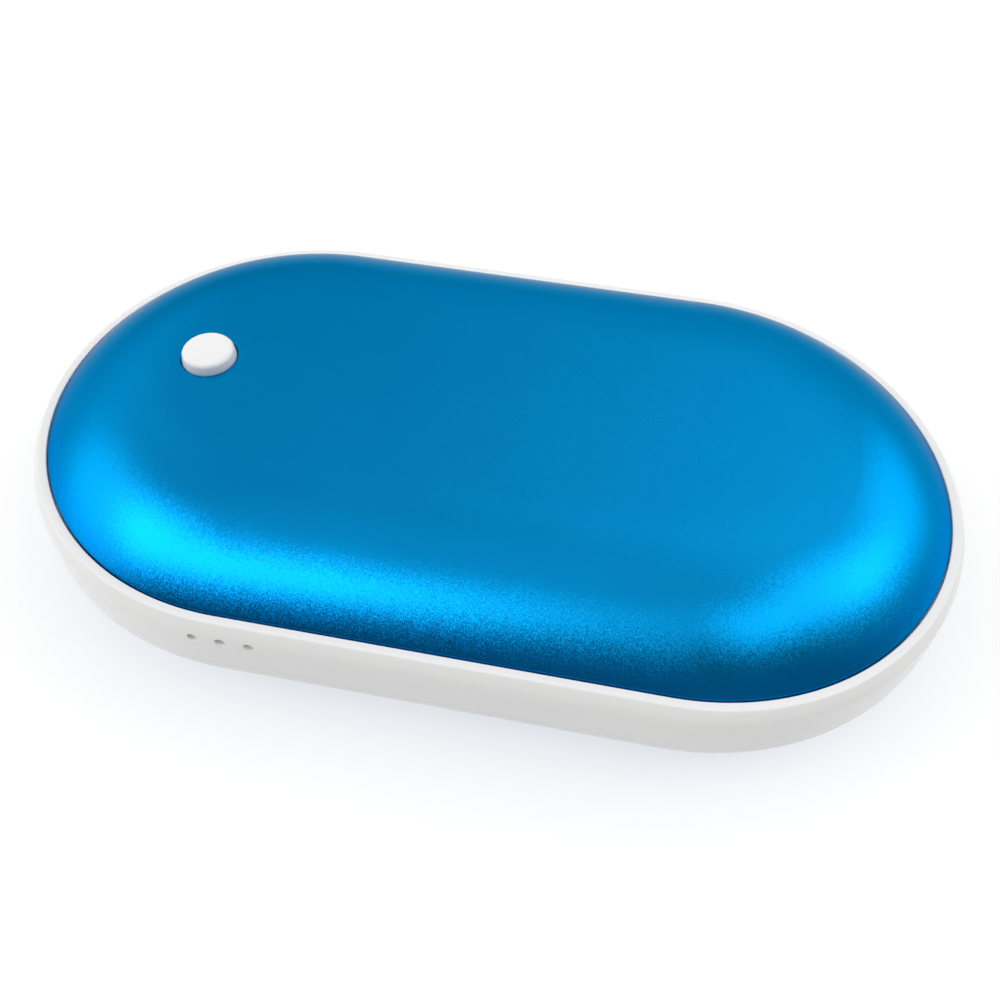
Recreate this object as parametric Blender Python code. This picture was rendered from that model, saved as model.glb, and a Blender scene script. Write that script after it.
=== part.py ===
# Rechargeable hand warmer, stadium shaped, with two pressed aluminium shells round a white
# plastic band. The warmer lies flat: +X runs along it, +Y across it and +Z up. The origin is
# the middle of the lower shell's flat face, where the warmer rests. The round push button is
# in the upper shell near the -X end, the charging sockets open in the -X end of the band, and
# three small light holes are in the band on the -Y side.
#
# Inside, a sunk control board carries the sockets, the push switch and the lights. A pouch
# cell stands in a window of the band's floor, foam pads press a film heater on each shell,
# and short wires join them.

import math

import bmesh
import bpy
from mathutils import Matrix, Vector

# Sizes in metres, as driving dimensions.

# Outer form
BODY_LENGTH = 0.1044
BODY_WIDTH = 0.0600
PILLOW_HEIGHT = 0.0064  # rise of each shell above the band
EDGE_SLOPE = math.radians(46)  # how steeply a shell leaves the band
SHELL_INSET = 0.0019  # from the band's widest line in to the shell's edge
SHELL_WALL = 0.0008
LIP_DEPTH = 0.0005  # how far a shell's lip sinks into the band

# General fits
FIT_GAP = 0.00015  # between pieces that are set into each other
BOND_GAP = 0.00005  # between films and the faces that they stick to
OVERRUN = 0.002  # how far cutters pass the faces that they cut

# Band
BAND_DROP = 0.00087  # how far the band's upper and lower edges draw in
BAND_POWER = 5.5  # how late that rounding starts
SEAL_HEIGHT = 0.0002
FLANGE_REACH = 0.0007  # how far the flange stands inside the shell's lip
PORT_ROOF = 0.0004  # plastic left between a socket's pocket and the lip's groove
PORT_WALL = 0.0006  # how deep a socket's corners lie under the band's widest line
FLOOR_THICKNESS = 0.0012
BATTERY_BOX_WALL = 0.0010
SHELF_REACH = 0.0050  # how far the floor reaches under the board

# Output socket, a sunk type A
USB_WIDTH = 0.0131
USB_HEIGHT = 0.0057
USB_LENGTH = 0.0110
USB_METAL = 0.0003
USB_CORNER = 0.0009  # radius outside its folded corners
USB_BLOCK = 0.0022  # depth of the plastic block at the socket's back
USB_TONGUE_SIDE_ROOM = 0.00075  # between the tongue and the metal beside it
USB_TONGUE_THICKNESS = 0.0018
USB_TONGUE_ROOM = 0.00045  # between the tongue and the metal above it
USB_TONGUE_SETBACK = 0.0014
USB_CONTACTS = 4
USB_CONTACT_WIDTH = 0.0010
USB_CONTACT_THICKNESS = 0.0002
USB_CONTACT_LENGTH = 0.0060
USB_CONTACT_MARGIN = 0.0014  # from the outer contacts to the tongue's edges
USB_SPRING_WIDTH = 0.0018
USB_SPRING_LENGTH = 0.0042
USB_SPRING_SLOT = 0.0004
USB_SPRING_MARGIN = 0.0026  # from a spring's slot to the metal's edge
USB_SPRING_SETBACK = 0.0026

# Charging socket, a sunk micro type
MICRO_WIDTH = 0.0075
MICRO_HEIGHT = 0.0026
MICRO_LENGTH = 0.0056
MICRO_METAL = 0.00025
MICRO_CHAMFER = 0.0008
MICRO_BLOCK = 0.0014
MICRO_TONGUE_SIDE_ROOM = 0.00165
MICRO_TONGUE_THICKNESS = 0.0006
MICRO_TONGUE_SETBACK = 0.0006
SOCKET_SPACING = 0.0042  # between the two sockets, along the round end

# Control board
BOARD_THICKNESS = 0.0012
BOARD_RIM_GAP = 0.0003
BOARD_BEHIND_SOCKET = 0.0237
SCREW_RADIUS = 0.00095
SCREW_LENGTH = 0.0030
SCREW_HEAD_RADIUS = 0.0018
SCREW_HEAD_HEIGHT = 0.0012
SCREW_SLOT_WIDTH = 0.0005
SCREW_SLOT_DEPTH = 0.0005
SCREW_HOLE_GAP = 0.00010
SCREW_HEAD_ROOM = 0.0003
BOSS_OVERLAP = 0.0005
BOSS_ANGLE = math.radians(50)
END_SCREW_SETBACK = 0.0025

# Push switch
SWITCH_BEHIND_SOCKET = 0.00765
SWITCH_WIDTH = 0.0045
SWITCH_BASE_HEIGHT = 0.0028
SWITCH_WELL_RADIUS = 0.0018
SWITCH_COVER_THICKNESS = 0.0002
SWITCH_COVER_SKIRT = 0.0011
SWITCH_HEIGHT = 0.0050  # board to the plunger's top
PLUNGER_RADIUS = 0.0010
PLUNGER_FLANGE_HEIGHT = 0.0004
PLUNGER_PLAY = 0.00005  # between the plunger's flange and the cover
DOME_RISE = 0.0005
DOME_THICKNESS = 0.00012

# Power button
BUTTON_RADIUS = 0.0030
BUTTON_PROUD = 0.0012
BUTTON_TAPER = 0.00010
BUTTON_EDGE = 0.00035
BUTTON_CROWN = 0.00010
BUTTON_CLEARANCE = 0.00015
BUTTON_FLANGE_REACH = 0.0011
BUTTON_FLANGE_HEIGHT = 0.0008
BUTTON_STEM_RADIUS = 0.0015
BUTTON_TRAVEL = 0.0004
RETAINER_WALL = 0.0012
RETAINER_FLOOR = 0.0008
RETAINER_CLEARANCE = 0.00025

# Status lights
LIGHT_BELOW_RIM = 0.0020
LIGHT_BEFORE_BOARD_END = 0.0051
LIGHT_PITCH = 0.0029
LIGHT_HOLE_RADIUS = 0.00050
LIGHT_PIN_RADIUS = 0.00040
LIGHT_PIN_RECESS = 0.0006
LIGHT_GUIDE_DEPTH = 0.0012
LIGHT_GUIDE_MARGIN = 0.0009
LED_WIDTH = 0.0016
LED_DEPTH = 0.0010
LED_HEIGHT = 0.0019

# Cell
CELL_THICKNESS = 0.0112
CELL_CORNER_ANGLE = math.radians(52)  # where its corners lie on the round end
CELL_SIDE_SPACE = 0.0006
CELL_EDGE = 0.0012
CELL_BOX_GAP = 0.0003
GUARD_BOARD_SPACE = 0.0026  # room at the cell's end for its guard board
GUARD_BOARD_THICKNESS = 0.0008
GUARD_BOARD_WIDTH = 0.0260
GUARD_BOARD_HEIGHT = 0.0060
TAB_WIDTH = 0.0040
TAB_THICKNESS = 0.00020
TAB_SPACING = 0.0140

# Heaters and pads
HEATER_THICKNESS = 0.00025
HEATER_MARGIN = 0.0007
HEATER_BUTTON_GAP = 0.0010
TRACE_WIDTH = 0.0010
TRACE_HEIGHT = 0.00010
TRACE_PITCH = 0.0030
TRACE_MARGIN = 0.0015
PAD_GAP = 0.00010
PAD_INSET = 0.0030
PAD_CORNER = 0.0020

# Wires
WIRE_DIAMETER = 0.0010
SENSOR_WIRE_DIAMETER = 0.0005
WIRE_BOW = 0.0012
WIRE_RISE = 0.0022
HEATER_WIRE_INSET = 0.0078  # from the heater's edge in to its wires
HEATER_WIRE_SETBACK = 0.0050
LOWER_WIRE_SETBACK = 0.0090
CELL_WIRE_SIDE = 0.0080
CELL_WIRE_SPACING = 0.0026
CELL_WIRE_SETBACK = 0.0024
SENSOR_INSET = 0.0035  # from the heater's edge in to the sensor
SENSOR_SETBACK = 0.0035
SENSOR_BEAD_RADIUS = 0.0009
SENSOR_BEAD_LENGTH = 0.0026
SENSOR_WIRE_SPACING = 0.0012

# Parts on the board
PART_GAP = 0.0012
LANE_GAP = 0.0042  # from the switch out to the first row of parts
INDUCTOR_WIDTH = 0.0068
INDUCTOR_HEIGHT = 0.0040
INDUCTOR_CORE_RADIUS = 0.0026
INDUCTOR_COLLAR = 0.0009
CAPACITOR_RADIUS = 0.0024
CAPACITOR_HEIGHT = 0.0050
CAPACITOR_GROOVE = 0.00025
CONTROLLER_WIDTH = 0.0050
CONTROLLER_HEIGHT = 0.0012
CHARGER_WIDTH = 0.0040
CHARGER_HEIGHT = 0.0010
TRANSISTOR_LENGTH = 0.0050
TRANSISTOR_WIDTH = 0.0040
TRANSISTOR_HEIGHT = 0.0014

# Counts of flat faces
END_STEPS = 24  # along each round end of the body
ARC_STEPS = 8  # along the pillow edge's section
BAND_STEPS = 5  # along each half of the band's section
FOLD_STEPS = 3  # round each folded corner of the output socket
EDGE_STEPS = 3  # along the button's rounded edge
ROUND_STEPS = 28  # round the button
SMALL_STEPS = 16  # round pins, screws and holes
SMOOTH_ANGLE = math.radians(35)  # edges that turn more than this stay sharp

# Shares of a radius or a turn at which curved forms have their points
CROWN_SHARES = (0.7, 0.4, 0.1)  # across the button's crown
DOME_SHARES = (0.35, 0.65, 0.85, 1.0)  # from the snap dome's middle to its rim
BEAD_SHARES = (0.12, 0.3, 0.5, 0.7, 0.88)  # along the heat sensor's bead

# Worked out from the sizes above.
BODY_RADIUS = BODY_WIDTH / 2
SPINE = BODY_LENGTH / 2 - BODY_RADIUS  # half of the straight stretch
SHELL_RADIUS = BODY_RADIUS - SHELL_INSET
GROOVE_DEPTH = LIP_DEPTH + SEAL_HEIGHT + 2 * BOND_GAP
BAND_HEIGHT = USB_HEIGHT + 2 * (FIT_GAP + PORT_ROOF + GROOVE_DEPTH)
FLANGE_RADIUS = SHELL_RADIUS - SHELL_WALL - FLANGE_REACH
BAND_BOTTOM = PILLOW_HEIGHT
BAND_TOP = BAND_BOTTOM + BAND_HEIGHT
MIDDLE = (BAND_BOTTOM + BAND_TOP) / 2
TOTAL_HEIGHT = BAND_TOP + PILLOW_HEIGHT
ARC_RADIUS = PILLOW_HEIGHT / (1 - math.cos(EDGE_SLOPE))
LAND_RADIUS = SHELL_RADIUS - ARC_RADIUS * math.sin(EDGE_SLOPE)  # the flat middle of a shell

BOARD_BOTTOM = MIDDLE - BOARD_THICKNESS / 2
BOARD_TOP = MIDDLE + BOARD_THICKNESS / 2
BOARD_RADIUS = FLANGE_RADIUS - BOARD_RIM_GAP
USB_TONGUE_WIDTH = USB_WIDTH - 2 * (USB_METAL + USB_TONGUE_SIDE_ROOM)
USB_CONTACT_SPAN = USB_TONGUE_WIDTH - 2 * USB_CONTACT_MARGIN - USB_CONTACT_WIDTH
USB_SPRING_Y = USB_WIDTH / 2 - USB_SPRING_MARGIN - USB_SPRING_SLOT - USB_SPRING_WIDTH / 2
MICRO_TONGUE_WIDTH = MICRO_WIDTH - 2 * (MICRO_METAL + MICRO_TONGUE_SIDE_ROOM)
PORT_RADIUS = BODY_RADIUS - PORT_WALL
USB_REACH = math.sqrt(PORT_RADIUS**2 - (USB_WIDTH / 2) ** 2)
MICRO_REACH = math.sqrt(PORT_RADIUS**2 - (MICRO_WIDTH / 2) ** 2)
MICRO_ANGLE = (USB_WIDTH / 2 + SOCKET_SPACING + MICRO_WIDTH / 2) / PORT_RADIUS
SOCKET_END_X = -SPINE - USB_REACH + USB_LENGTH
BOARD_END_X = SOCKET_END_X + BOARD_BEHIND_SOCKET
SWITCH_X = SOCKET_END_X + SWITCH_BEHIND_SOCKET
LIGHT_X = BOARD_END_X - LIGHT_BEFORE_BOARD_END
LIGHT_Z = BAND_TOP - LIGHT_BELOW_RIM
FLOOR_TOP = BOARD_BOTTOM - FIT_GAP
FLANGE_BOTTOM = BAND_BOTTOM + GROOVE_DEPTH
FLANGE_TOP = BAND_TOP - GROOVE_DEPTH
BOSS_RADIUS = SCREW_HEAD_RADIUS + SCREW_HEAD_ROOM + BOSS_OVERLAP
BOSS_REACH = FLANGE_RADIUS - SCREW_HEAD_RADIUS - SCREW_HEAD_ROOM


def shell_inside(distance):
    """Height of the upper shell's inner face above the band, that far out from the spine."""
    across = max(distance - LAND_RADIUS, 0)
    return math.sqrt((ARC_RADIUS - SHELL_WALL) ** 2 - across**2) + PILLOW_HEIGHT - ARC_RADIUS


def room_inside(height):
    """How far out from the spine the shell's inner face lies, that far above the band."""
    centre = PILLOW_HEIGHT - ARC_RADIUS
    return LAND_RADIUS + math.sqrt((ARC_RADIUS - SHELL_WALL) ** 2 - (height - centre) ** 2)


def band_side(x, radius):
    """Half width of a stadium of that radius, at a place along the body."""
    beyond = max(abs(x) - SPINE, 0)
    return math.sqrt(radius**2 - beyond**2)


CELL_ROOM = min(FLANGE_RADIUS, room_inside(CELL_THICKNESS / 2 - BAND_HEIGHT / 2)) - CELL_SIDE_SPACE
CELL_WIDTH = 2 * CELL_ROOM * math.sin(CELL_CORNER_ANGLE)
CELL_RIGHT_X = SPINE + CELL_ROOM * math.cos(CELL_CORNER_ANGLE)
BOX_LEFT_X = BOARD_END_X + 2 * FIT_GAP
CELL_LEFT_X = BOX_LEFT_X + BATTERY_BOX_WALL + GUARD_BOARD_SPACE
CELL_LENGTH = CELL_RIGHT_X - CELL_LEFT_X
CELL_X = (CELL_LEFT_X + CELL_RIGHT_X) / 2
CELL_TOP = MIDDLE + CELL_THICKNESS / 2
CELL_BOTTOM = MIDDLE - CELL_THICKNESS / 2

INSIDE_TOP = TOTAL_HEIGHT - SHELL_WALL
INSIDE_BOTTOM = SHELL_WALL
HEATER_RADIUS = LAND_RADIUS - HEATER_MARGIN
HEATER_WIRE_Y = HEATER_RADIUS - HEATER_WIRE_INSET
SENSOR_Y = SENSOR_INSET - HEATER_RADIUS
UPPER_HEATER_BOTTOM = INSIDE_TOP - BOND_GAP - HEATER_THICKNESS
LOWER_HEATER_TOP = INSIDE_BOTTOM + BOND_GAP + HEATER_THICKNESS

BUTTON_FLANGE_RADIUS = BUTTON_RADIUS + BUTTON_FLANGE_REACH
RETAINER_INNER = BUTTON_FLANGE_RADIUS + RETAINER_CLEARANCE
RETAINER_RADIUS = RETAINER_INNER + RETAINER_WALL
BUTTON_OUT = max(-SWITCH_X - SPINE, 0)  # how far the button lies beyond the spine
FLANGE_SEAT = BAND_TOP + shell_inside(BUTTON_OUT + BUTTON_FLANGE_RADIUS) - FIT_GAP
RETAINER_SEAT = BAND_TOP + shell_inside(BUTTON_OUT + RETAINER_RADIUS) - BOND_GAP
BUTTON_FLANGE_BOTTOM = FLANGE_SEAT - BUTTON_FLANGE_HEIGHT
RETAINER_FLOOR_TOP = BUTTON_FLANGE_BOTTOM - BUTTON_TRAVEL - RETAINER_CLEARANCE
PLUNGER_TOP = BOARD_TOP + SWITCH_HEIGHT
DOME_HEIGHT = DOME_RISE + DOME_THICKNESS
SWITCH_WELL_DEPTH = 2 * BOND_GAP + DOME_HEIGHT + PLUNGER_FLANGE_HEIGHT + PLUNGER_PLAY
WELL_FLOOR = BOARD_TOP + BOND_GAP + SWITCH_BASE_HEIGHT - SWITCH_WELL_DEPTH
BASE_TOP = BOARD_TOP + BOND_GAP + SWITCH_BASE_HEIGHT
DOME_TOP = WELL_FLOOR + BOND_GAP + DOME_HEIGHT
PLUNGER_FLANGE_BOTTOM = DOME_TOP + BOND_GAP
UPPER_HEATER_LEFT_X = SWITCH_X + RETAINER_RADIUS + HEATER_BUTTON_GAP

MATERIALS = {
    "blue_aluminium": ((0.0, 0.22, 0.48), 0.35, 1.0),
    "white_plastic": ((0.85, 0.85, 0.86), 0.25, 0.0),
    "button_plastic": ((0.88, 0.88, 0.88), 0.35, 0.0),
    "black_plastic": ((0.03, 0.03, 0.03), 0.45, 0.0),
    "clear_plastic": ((0.80, 0.82, 0.84), 0.15, 0.0),
    "steel": ((0.62, 0.62, 0.63), 0.25, 1.0),
    "gold": ((0.80, 0.60, 0.25), 0.30, 1.0),
    "board_green": ((0.02, 0.16, 0.07), 0.40, 0.0),
    "cell_foil": ((0.60, 0.61, 0.63), 0.35, 1.0),
    "amber_film": ((0.62, 0.30, 0.06), 0.35, 0.0),
    "grey_foam": ((0.18, 0.18, 0.19), 0.90, 0.0),
    "seal_rubber": ((0.10, 0.10, 0.10), 0.80, 0.0),
    "ferrite": ((0.10, 0.10, 0.11), 0.60, 0.0),
    "red_wire": ((0.60, 0.03, 0.03), 0.40, 0.0),
    "black_wire": ((0.02, 0.02, 0.02), 0.40, 0.0),
    "led_white": ((0.85, 0.82, 0.70), 0.40, 0.0),
}


# Scene helpers


def clear_scene():
    """Removes the objects of the startup scene."""
    for obj in list(bpy.data.objects):
        bpy.data.objects.remove(obj)


def material(name):
    """The named finish, made once and shared."""
    found = bpy.data.materials.get(name)
    if found:
        return found
    color, roughness, metallic = MATERIALS[name]
    made = bpy.data.materials.new(name)
    made.use_nodes = True
    shader = made.node_tree.nodes["Principled BSDF"]
    shader.inputs["Base Color"].default_value = (*color, 1)
    shader.inputs["Roughness"].default_value = roughness
    shader.inputs["Metallic"].default_value = metallic
    made.diffuse_color = (*color, 1)
    return made


def empty(name, place, parent=None):
    """A point that pieces are parented to."""
    made = bpy.data.objects.new(name, None)
    bpy.context.scene.collection.objects.link(made)
    made.parent = parent
    made.location = place
    return made


def piece(name, bm, place, finish, parent=None):
    """Turns a bmesh into a named piece at its place, shaded smooth but for its sharp edges."""
    bmesh.ops.recalc_face_normals(bm, faces=bm.faces)
    mesh = bpy.data.meshes.new(name)
    bm.to_mesh(mesh)
    bm.free()
    mesh.materials.append(material(finish))
    mesh.shade_smooth()
    mesh.set_sharp_from_angle(angle=SMOOTH_ANGLE)
    obj = bpy.data.objects.new(name, mesh)
    bpy.context.scene.collection.objects.link(obj)
    obj.parent = parent
    obj.location = place
    return obj


def helper(name, bm, place, parent):
    """A shape that only cuts or joins. It is hidden, and isn't a piece."""
    obj = piece(name, bm, place, "white_plastic", parent)
    obj.hide_render = True
    obj.display_type = "WIRE"
    return obj


def combine(obj, other, operation):
    """Adds a Boolean modifier that cuts or joins with a hidden shape."""
    modifier = obj.modifiers.new(other.name, "BOOLEAN")
    modifier.object = other
    modifier.operation = operation
    modifier.solver = "EXACT"
    return obj


def cut(obj, bm, place, parent=None):
    """Cuts a shape out of a piece."""
    return combine(obj, helper("cut_" + obj.name, bm, place, parent), "DIFFERENCE")


def join(obj, bm, place, parent=None):
    """Adds a shape to a piece, as one body."""
    return combine(obj, helper("join_" + obj.name, bm, place, parent), "UNION")


def settle_pieces():
    """Makes the modifiers permanent, then marks the edges that they left sharp."""
    bpy.context.view_layer.update()
    graph = bpy.context.evaluated_depsgraph_get()
    changed = [obj for obj in bpy.data.objects if obj.type == "MESH" and obj.modifiers]
    meshes = [bpy.data.meshes.new_from_object(obj.evaluated_get(graph)) for obj in changed]
    for obj, mesh in zip(changed, meshes):
        obj.modifiers.clear()
        obj.data = mesh
        mesh.shade_smooth()
        mesh.set_sharp_from_angle(angle=SMOOTH_ANGLE)
    for obj in [obj for obj in bpy.data.objects if obj.display_type == "WIRE"]:
        bpy.data.objects.remove(obj)


# Outlines, as lists of (x, y) that run counterclockwise


def arc(centre, radius, start, end, steps):
    """Points along an arc between two angles, both ends included."""
    angles = [start + (end - start) * i / steps for i in range(steps + 1)]
    return [(centre[0] + radius * math.cos(a), centre[1] + radius * math.sin(a)) for a in angles]


def stadium(radius, left=-SPINE, right=SPINE, steps=END_STEPS):
    """Two half circles joined by straight sides. left and right are the circles' centres."""
    quarter = math.pi / 2
    return arc((right, 0), radius, -quarter, quarter, steps) + arc(
        (left, 0), radius, quarter, 3 * quarter, steps
    )


def circle(radius, steps=SMALL_STEPS):
    """A round outline, as a polygon."""
    return arc((0, 0), radius, 0, 2 * math.pi, steps)[:-1]


def rectangle(length, width):
    """A rectangle round the origin."""
    x, y = length / 2, width / 2
    return [(x, -y), (x, y), (-x, y), (-x, -y)]


def rounded(length, width, radius, steps=4):
    """A rectangle round the origin with round corners."""
    x, y = length / 2 - radius, width / 2 - radius
    quarter = math.pi / 2
    corners = [(x, -y), (x, y), (-x, y), (-x, -y)]
    starts = [-quarter, 0, quarter, 2 * quarter]
    outline = []
    for corner, start in zip(corners, starts):
        outline += arc(corner, radius, start, start + quarter, steps)
    return outline


# Solids


def loft(loops, closed=False):
    """Joins loops of points by a skin. Open ends are capped, and a closed skin is a ring."""
    bm = bmesh.new()
    rows = [[bm.verts.new(point) for point in loop] for loop in loops]
    pairs = list(zip(rows, rows[1:]))
    if closed:
        pairs.append((rows[-1], rows[0]))
    count = len(rows[0])
    for low, high in pairs:
        for i in range(count):
            j = (i + 1) % count
            bm.faces.new((low[i], low[j], high[j], high[i]))
    if not closed:
        bm.faces.new(list(reversed(rows[0])))
        bm.faces.new(rows[-1])
    return bm


def prism(outline, height):
    """An outline extruded upwards from z = 0."""
    bm = bmesh.new()
    face = bm.faces.new([bm.verts.new((x, y, 0)) for x, y in outline])
    made = bmesh.ops.extrude_face_region(bm, geom=[face])
    moved = [v for v in made["geom"] if isinstance(v, bmesh.types.BMVert)]
    bmesh.ops.translate(bm, verts=moved, vec=(0, 0, height))
    return bm


def turned(profile, steps=SMALL_STEPS, closed=False):
    """A profile of (radius, z) turned about the z axis."""
    return loft([[(x, y, z) for x, y in circle(r, steps)] for r, z in profile], closed)


def swept(profile, left=-SPINE, right=SPINE, closed=False):
    """A profile of (radius, z) carried round a stadium."""
    return loft([[(x, y, z) for x, y in stadium(r, left, right)] for r, z in profile], closed)


def turn_forward(bm):
    """Turns a prism so that its height runs along +X, and its outline stands across it."""
    turn = Matrix.Rotation(math.radians(90), 4, "Z") @ Matrix.Rotation(math.radians(90), 4, "X")
    bmesh.ops.transform(bm, matrix=turn, verts=bm.verts)
    return bm


def block(length, width, height):
    """A plain box that stands on z = 0, centred in x and y."""
    return prism(rectangle(length, width), height)


def wire(name, points, diameter, finish, parent):
    """A round wire along points, with closed ends."""
    curve = bpy.data.curves.new(name, "CURVE")
    curve.dimensions = "3D"
    curve.bevel_depth = diameter / 2
    curve.bevel_resolution = 2
    curve.use_fill_caps = True
    spline = curve.splines.new("POLY")
    spline.points.add(len(points) - 1)
    start = Vector(points[0])
    for point, place in zip(spline.points, points):
        point.co = (*(Vector(place) - start), 1)
    curve.materials.append(material(finish))
    obj = bpy.data.objects.new(name, curve)
    bpy.context.scene.collection.objects.link(obj)
    obj.parent = parent
    obj.location = start
    return obj


def bend(start, end, lift, steps=10):
    """Points along a cubic curve that leaves start and reaches end by way of lift."""
    first, last, rise = Vector(start), Vector(end), Vector(lift)
    path = []
    for i in range(steps + 1):
        t = i / steps
        near, far = 3 * t * (1 - t) ** 2, 3 * t * t * (1 - t)
        path.append((1 - t) ** 3 * first + near * (first + rise) + far * (last + rise) + t**3 * last)
    return path


def drop(start, end, bow, steps=8):
    """Points down from start to end that bow sideways and leave both ends straight."""
    first, last = Vector(start), Vector(end)
    path = []
    for i in range(steps + 1):
        t = i / steps
        path.append(first.lerp(last, t) + Vector((bow * math.sin(math.pi * t) ** 2, 0, 0)))
    return path


# Outer pieces


def shell_profile():
    """Section of a shell above its edge: flat middle, pillow arc and lip, out and back in."""
    centre_z = PILLOW_HEIGHT - ARC_RADIUS
    outer = []
    for i in range(ARC_STEPS + 1):
        a = EDGE_SLOPE * i / ARC_STEPS
        outer.append((LAND_RADIUS + ARC_RADIUS * math.sin(a), centre_z + ARC_RADIUS * math.cos(a)))
    inner_radius = ARC_RADIUS - SHELL_WALL
    inner_end = math.asin((ARC_RADIUS * math.sin(EDGE_SLOPE) - SHELL_WALL) / inner_radius)
    inner = []
    for i in range(ARC_STEPS, -1, -1):
        a = inner_end * i / ARC_STEPS
        inner.append((LAND_RADIUS + inner_radius * math.sin(a), centre_z + inner_radius * math.cos(a)))
    lip = [(SHELL_RADIUS, -LIP_DEPTH), (SHELL_RADIUS - SHELL_WALL, -LIP_DEPTH)]
    return outer + lip + inner


def make_shells(body):
    """The two pressed aluminium shells. The lower one is turned over and has no button hole."""
    upper = piece("top_shell", swept(shell_profile()), (0, 0, BAND_TOP), "blue_aluminium", body)
    hole_radius = BUTTON_RADIUS + BUTTON_CLEARANCE
    hole = turned([(hole_radius, z) for z in (0, PILLOW_HEIGHT + OVERRUN)], ROUND_STEPS)
    cut(upper, hole, (SWITCH_X, 0, BAND_TOP))
    lower = piece("bottom_shell", swept(shell_profile()), (0, 0, BAND_BOTTOM), "blue_aluminium", body)
    lower.rotation_euler = (math.pi, 0, 0)


def make_seals(body):
    """The glue beads in the band's grooves, under each shell's lip."""
    outer, inner = SHELL_RADIUS, SHELL_RADIUS - SHELL_WALL
    section = [(outer, 0), (outer, SEAL_HEIGHT), (inner, SEAL_HEIGHT), (inner, 0)]
    upper = FLANGE_TOP + BOND_GAP
    lower = FLANGE_BOTTOM - BOND_GAP - SEAL_HEIGHT
    piece("top_shell_seal", swept(section, closed=True), (0, 0, upper), "seal_rubber", body)
    piece("bottom_shell_seal", swept(section, closed=True), (0, 0, lower), "seal_rubber", body)


def band_profile():
    """Closed section of the band about its middle: bulged wall, grooves and inner flange."""
    half = BAND_HEIGHT / 2
    wall = []
    for i in range(-BAND_STEPS, BAND_STEPS + 1):
        share = math.sin(math.pi / 2 * i / BAND_STEPS)
        wall.append((BODY_RADIUS - BAND_DROP * abs(share) ** BAND_POWER, half * share))
    groove = SHELL_RADIUS + FIT_GAP
    shelf = half - GROOVE_DEPTH
    inside = [(groove, half), (groove, shelf), (FLANGE_RADIUS, shelf)]
    return wall + inside + [(r, -z) for r, z in reversed(inside)]


def boss_places():
    """Centres of the three board screws: two by the sockets and one by the board's end."""
    x = -SPINE - BOSS_REACH * math.cos(BOSS_ANGLE)
    y = BOSS_REACH * math.sin(BOSS_ANGLE)
    return [(x, y), (x, -y), (BOARD_END_X - END_SCREW_SETBACK, 0)]


def make_band(body, ports):
    """The white band with its floor, cell box, screw bosses, socket pockets and light holes."""
    band = piece("middle_frame", swept(band_profile(), closed=True), (0, 0, MIDDLE), "white_plastic", body)
    floor_radius = (FLANGE_RADIUS + SHELL_RADIUS) / 2
    floor = prism(
        arc((SPINE, 0), floor_radius, -math.pi / 2, math.pi / 2, END_STEPS)
        + [(BOARD_END_X - SHELF_REACH, y) for y in (floor_radius - SHELL_WALL, SHELL_WALL - floor_radius)],
        FLOOR_THICKNESS,
    )
    join(band, floor, (0, 0, FLOOR_TOP - FLOOR_THICKNESS))
    box_right = CELL_RIGHT_X + CELL_BOX_GAP
    window_left = BOX_LEFT_X + BATTERY_BOX_WALL
    window_width = CELL_WIDTH + 2 * CELL_BOX_GAP
    wall = block(
        box_right + BATTERY_BOX_WALL - BOX_LEFT_X,
        window_width + 2 * BATTERY_BOX_WALL,
        FLANGE_TOP - FLANGE_BOTTOM - 2 * BOND_GAP,
    )
    join(band, wall, ((box_right + BATTERY_BOX_WALL + BOX_LEFT_X) / 2, 0, FLANGE_BOTTOM + BOND_GAP))
    for x, y in boss_places():
        boss = turned([(BOSS_RADIUS, z) for z in (0, FLOOR_TOP - FLANGE_BOTTOM - BOND_GAP)])
        join(band, boss, (x, y, FLANGE_BOTTOM + BOND_GAP))
    window = block(box_right - window_left, window_width, BAND_HEIGHT + 2 * OVERRUN)
    cut(band, window, ((box_right + window_left) / 2, 0, BAND_BOTTOM - OVERRUN))
    for x, y in boss_places():
        pilot = turned([(SCREW_RADIUS + SCREW_HOLE_GAP, z) for z in (0, BAND_HEIGHT / 2)])
        cut(band, pilot, (x, y, BAND_BOTTOM))
    for port, reach, width, height, length in ports:
        pocket = turn_forward(
            prism(rectangle(width + 2 * FIT_GAP, height + 2 * FIT_GAP), length + OVERRUN + FIT_GAP)
        )
        cut(band, pocket, (-reach - OVERRUN, 0, 0), port)
    for place in light_places():
        hole = turned([(LIGHT_HOLE_RADIUS, z) for z in (0, BODY_RADIUS)])
        bmesh.ops.rotate(hole, verts=hole.verts, matrix=Matrix.Rotation(math.radians(90), 3, "X"))
        cut(band, hole, (place, -FLANGE_RADIUS / 2, LIGHT_Z))


# Board and what it carries


def make_board(body, ports):
    """The control board, sunk at the band's middle, with a notch for each socket."""
    outline = arc((-SPINE, 0), BOARD_RADIUS, math.pi / 2, 3 * math.pi / 2, END_STEPS)
    if BOARD_END_X > -SPINE:
        outline += [(BOARD_END_X, -BOARD_RADIUS), (BOARD_END_X, BOARD_RADIUS)]
    plate = prism(outline, BOARD_THICKNESS)
    board = piece("control_board", plate, (0, 0, BOARD_BOTTOM), "board_green", body)
    for port, reach, width, _, length in ports:
        notch = block(length + OVERRUN + FIT_GAP, width + 2 * FIT_GAP, BAND_HEIGHT)
        cut(board, notch, (-reach + (length + FIT_GAP - OVERRUN) / 2, 0, -BAND_HEIGHT / 2), port)
    for x, y in boss_places():
        hole = turned([(SCREW_RADIUS + 2 * SCREW_HOLE_GAP, z) for z in (0, BAND_HEIGHT)])
        cut(board, hole, (x, y, BAND_BOTTOM))


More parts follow.
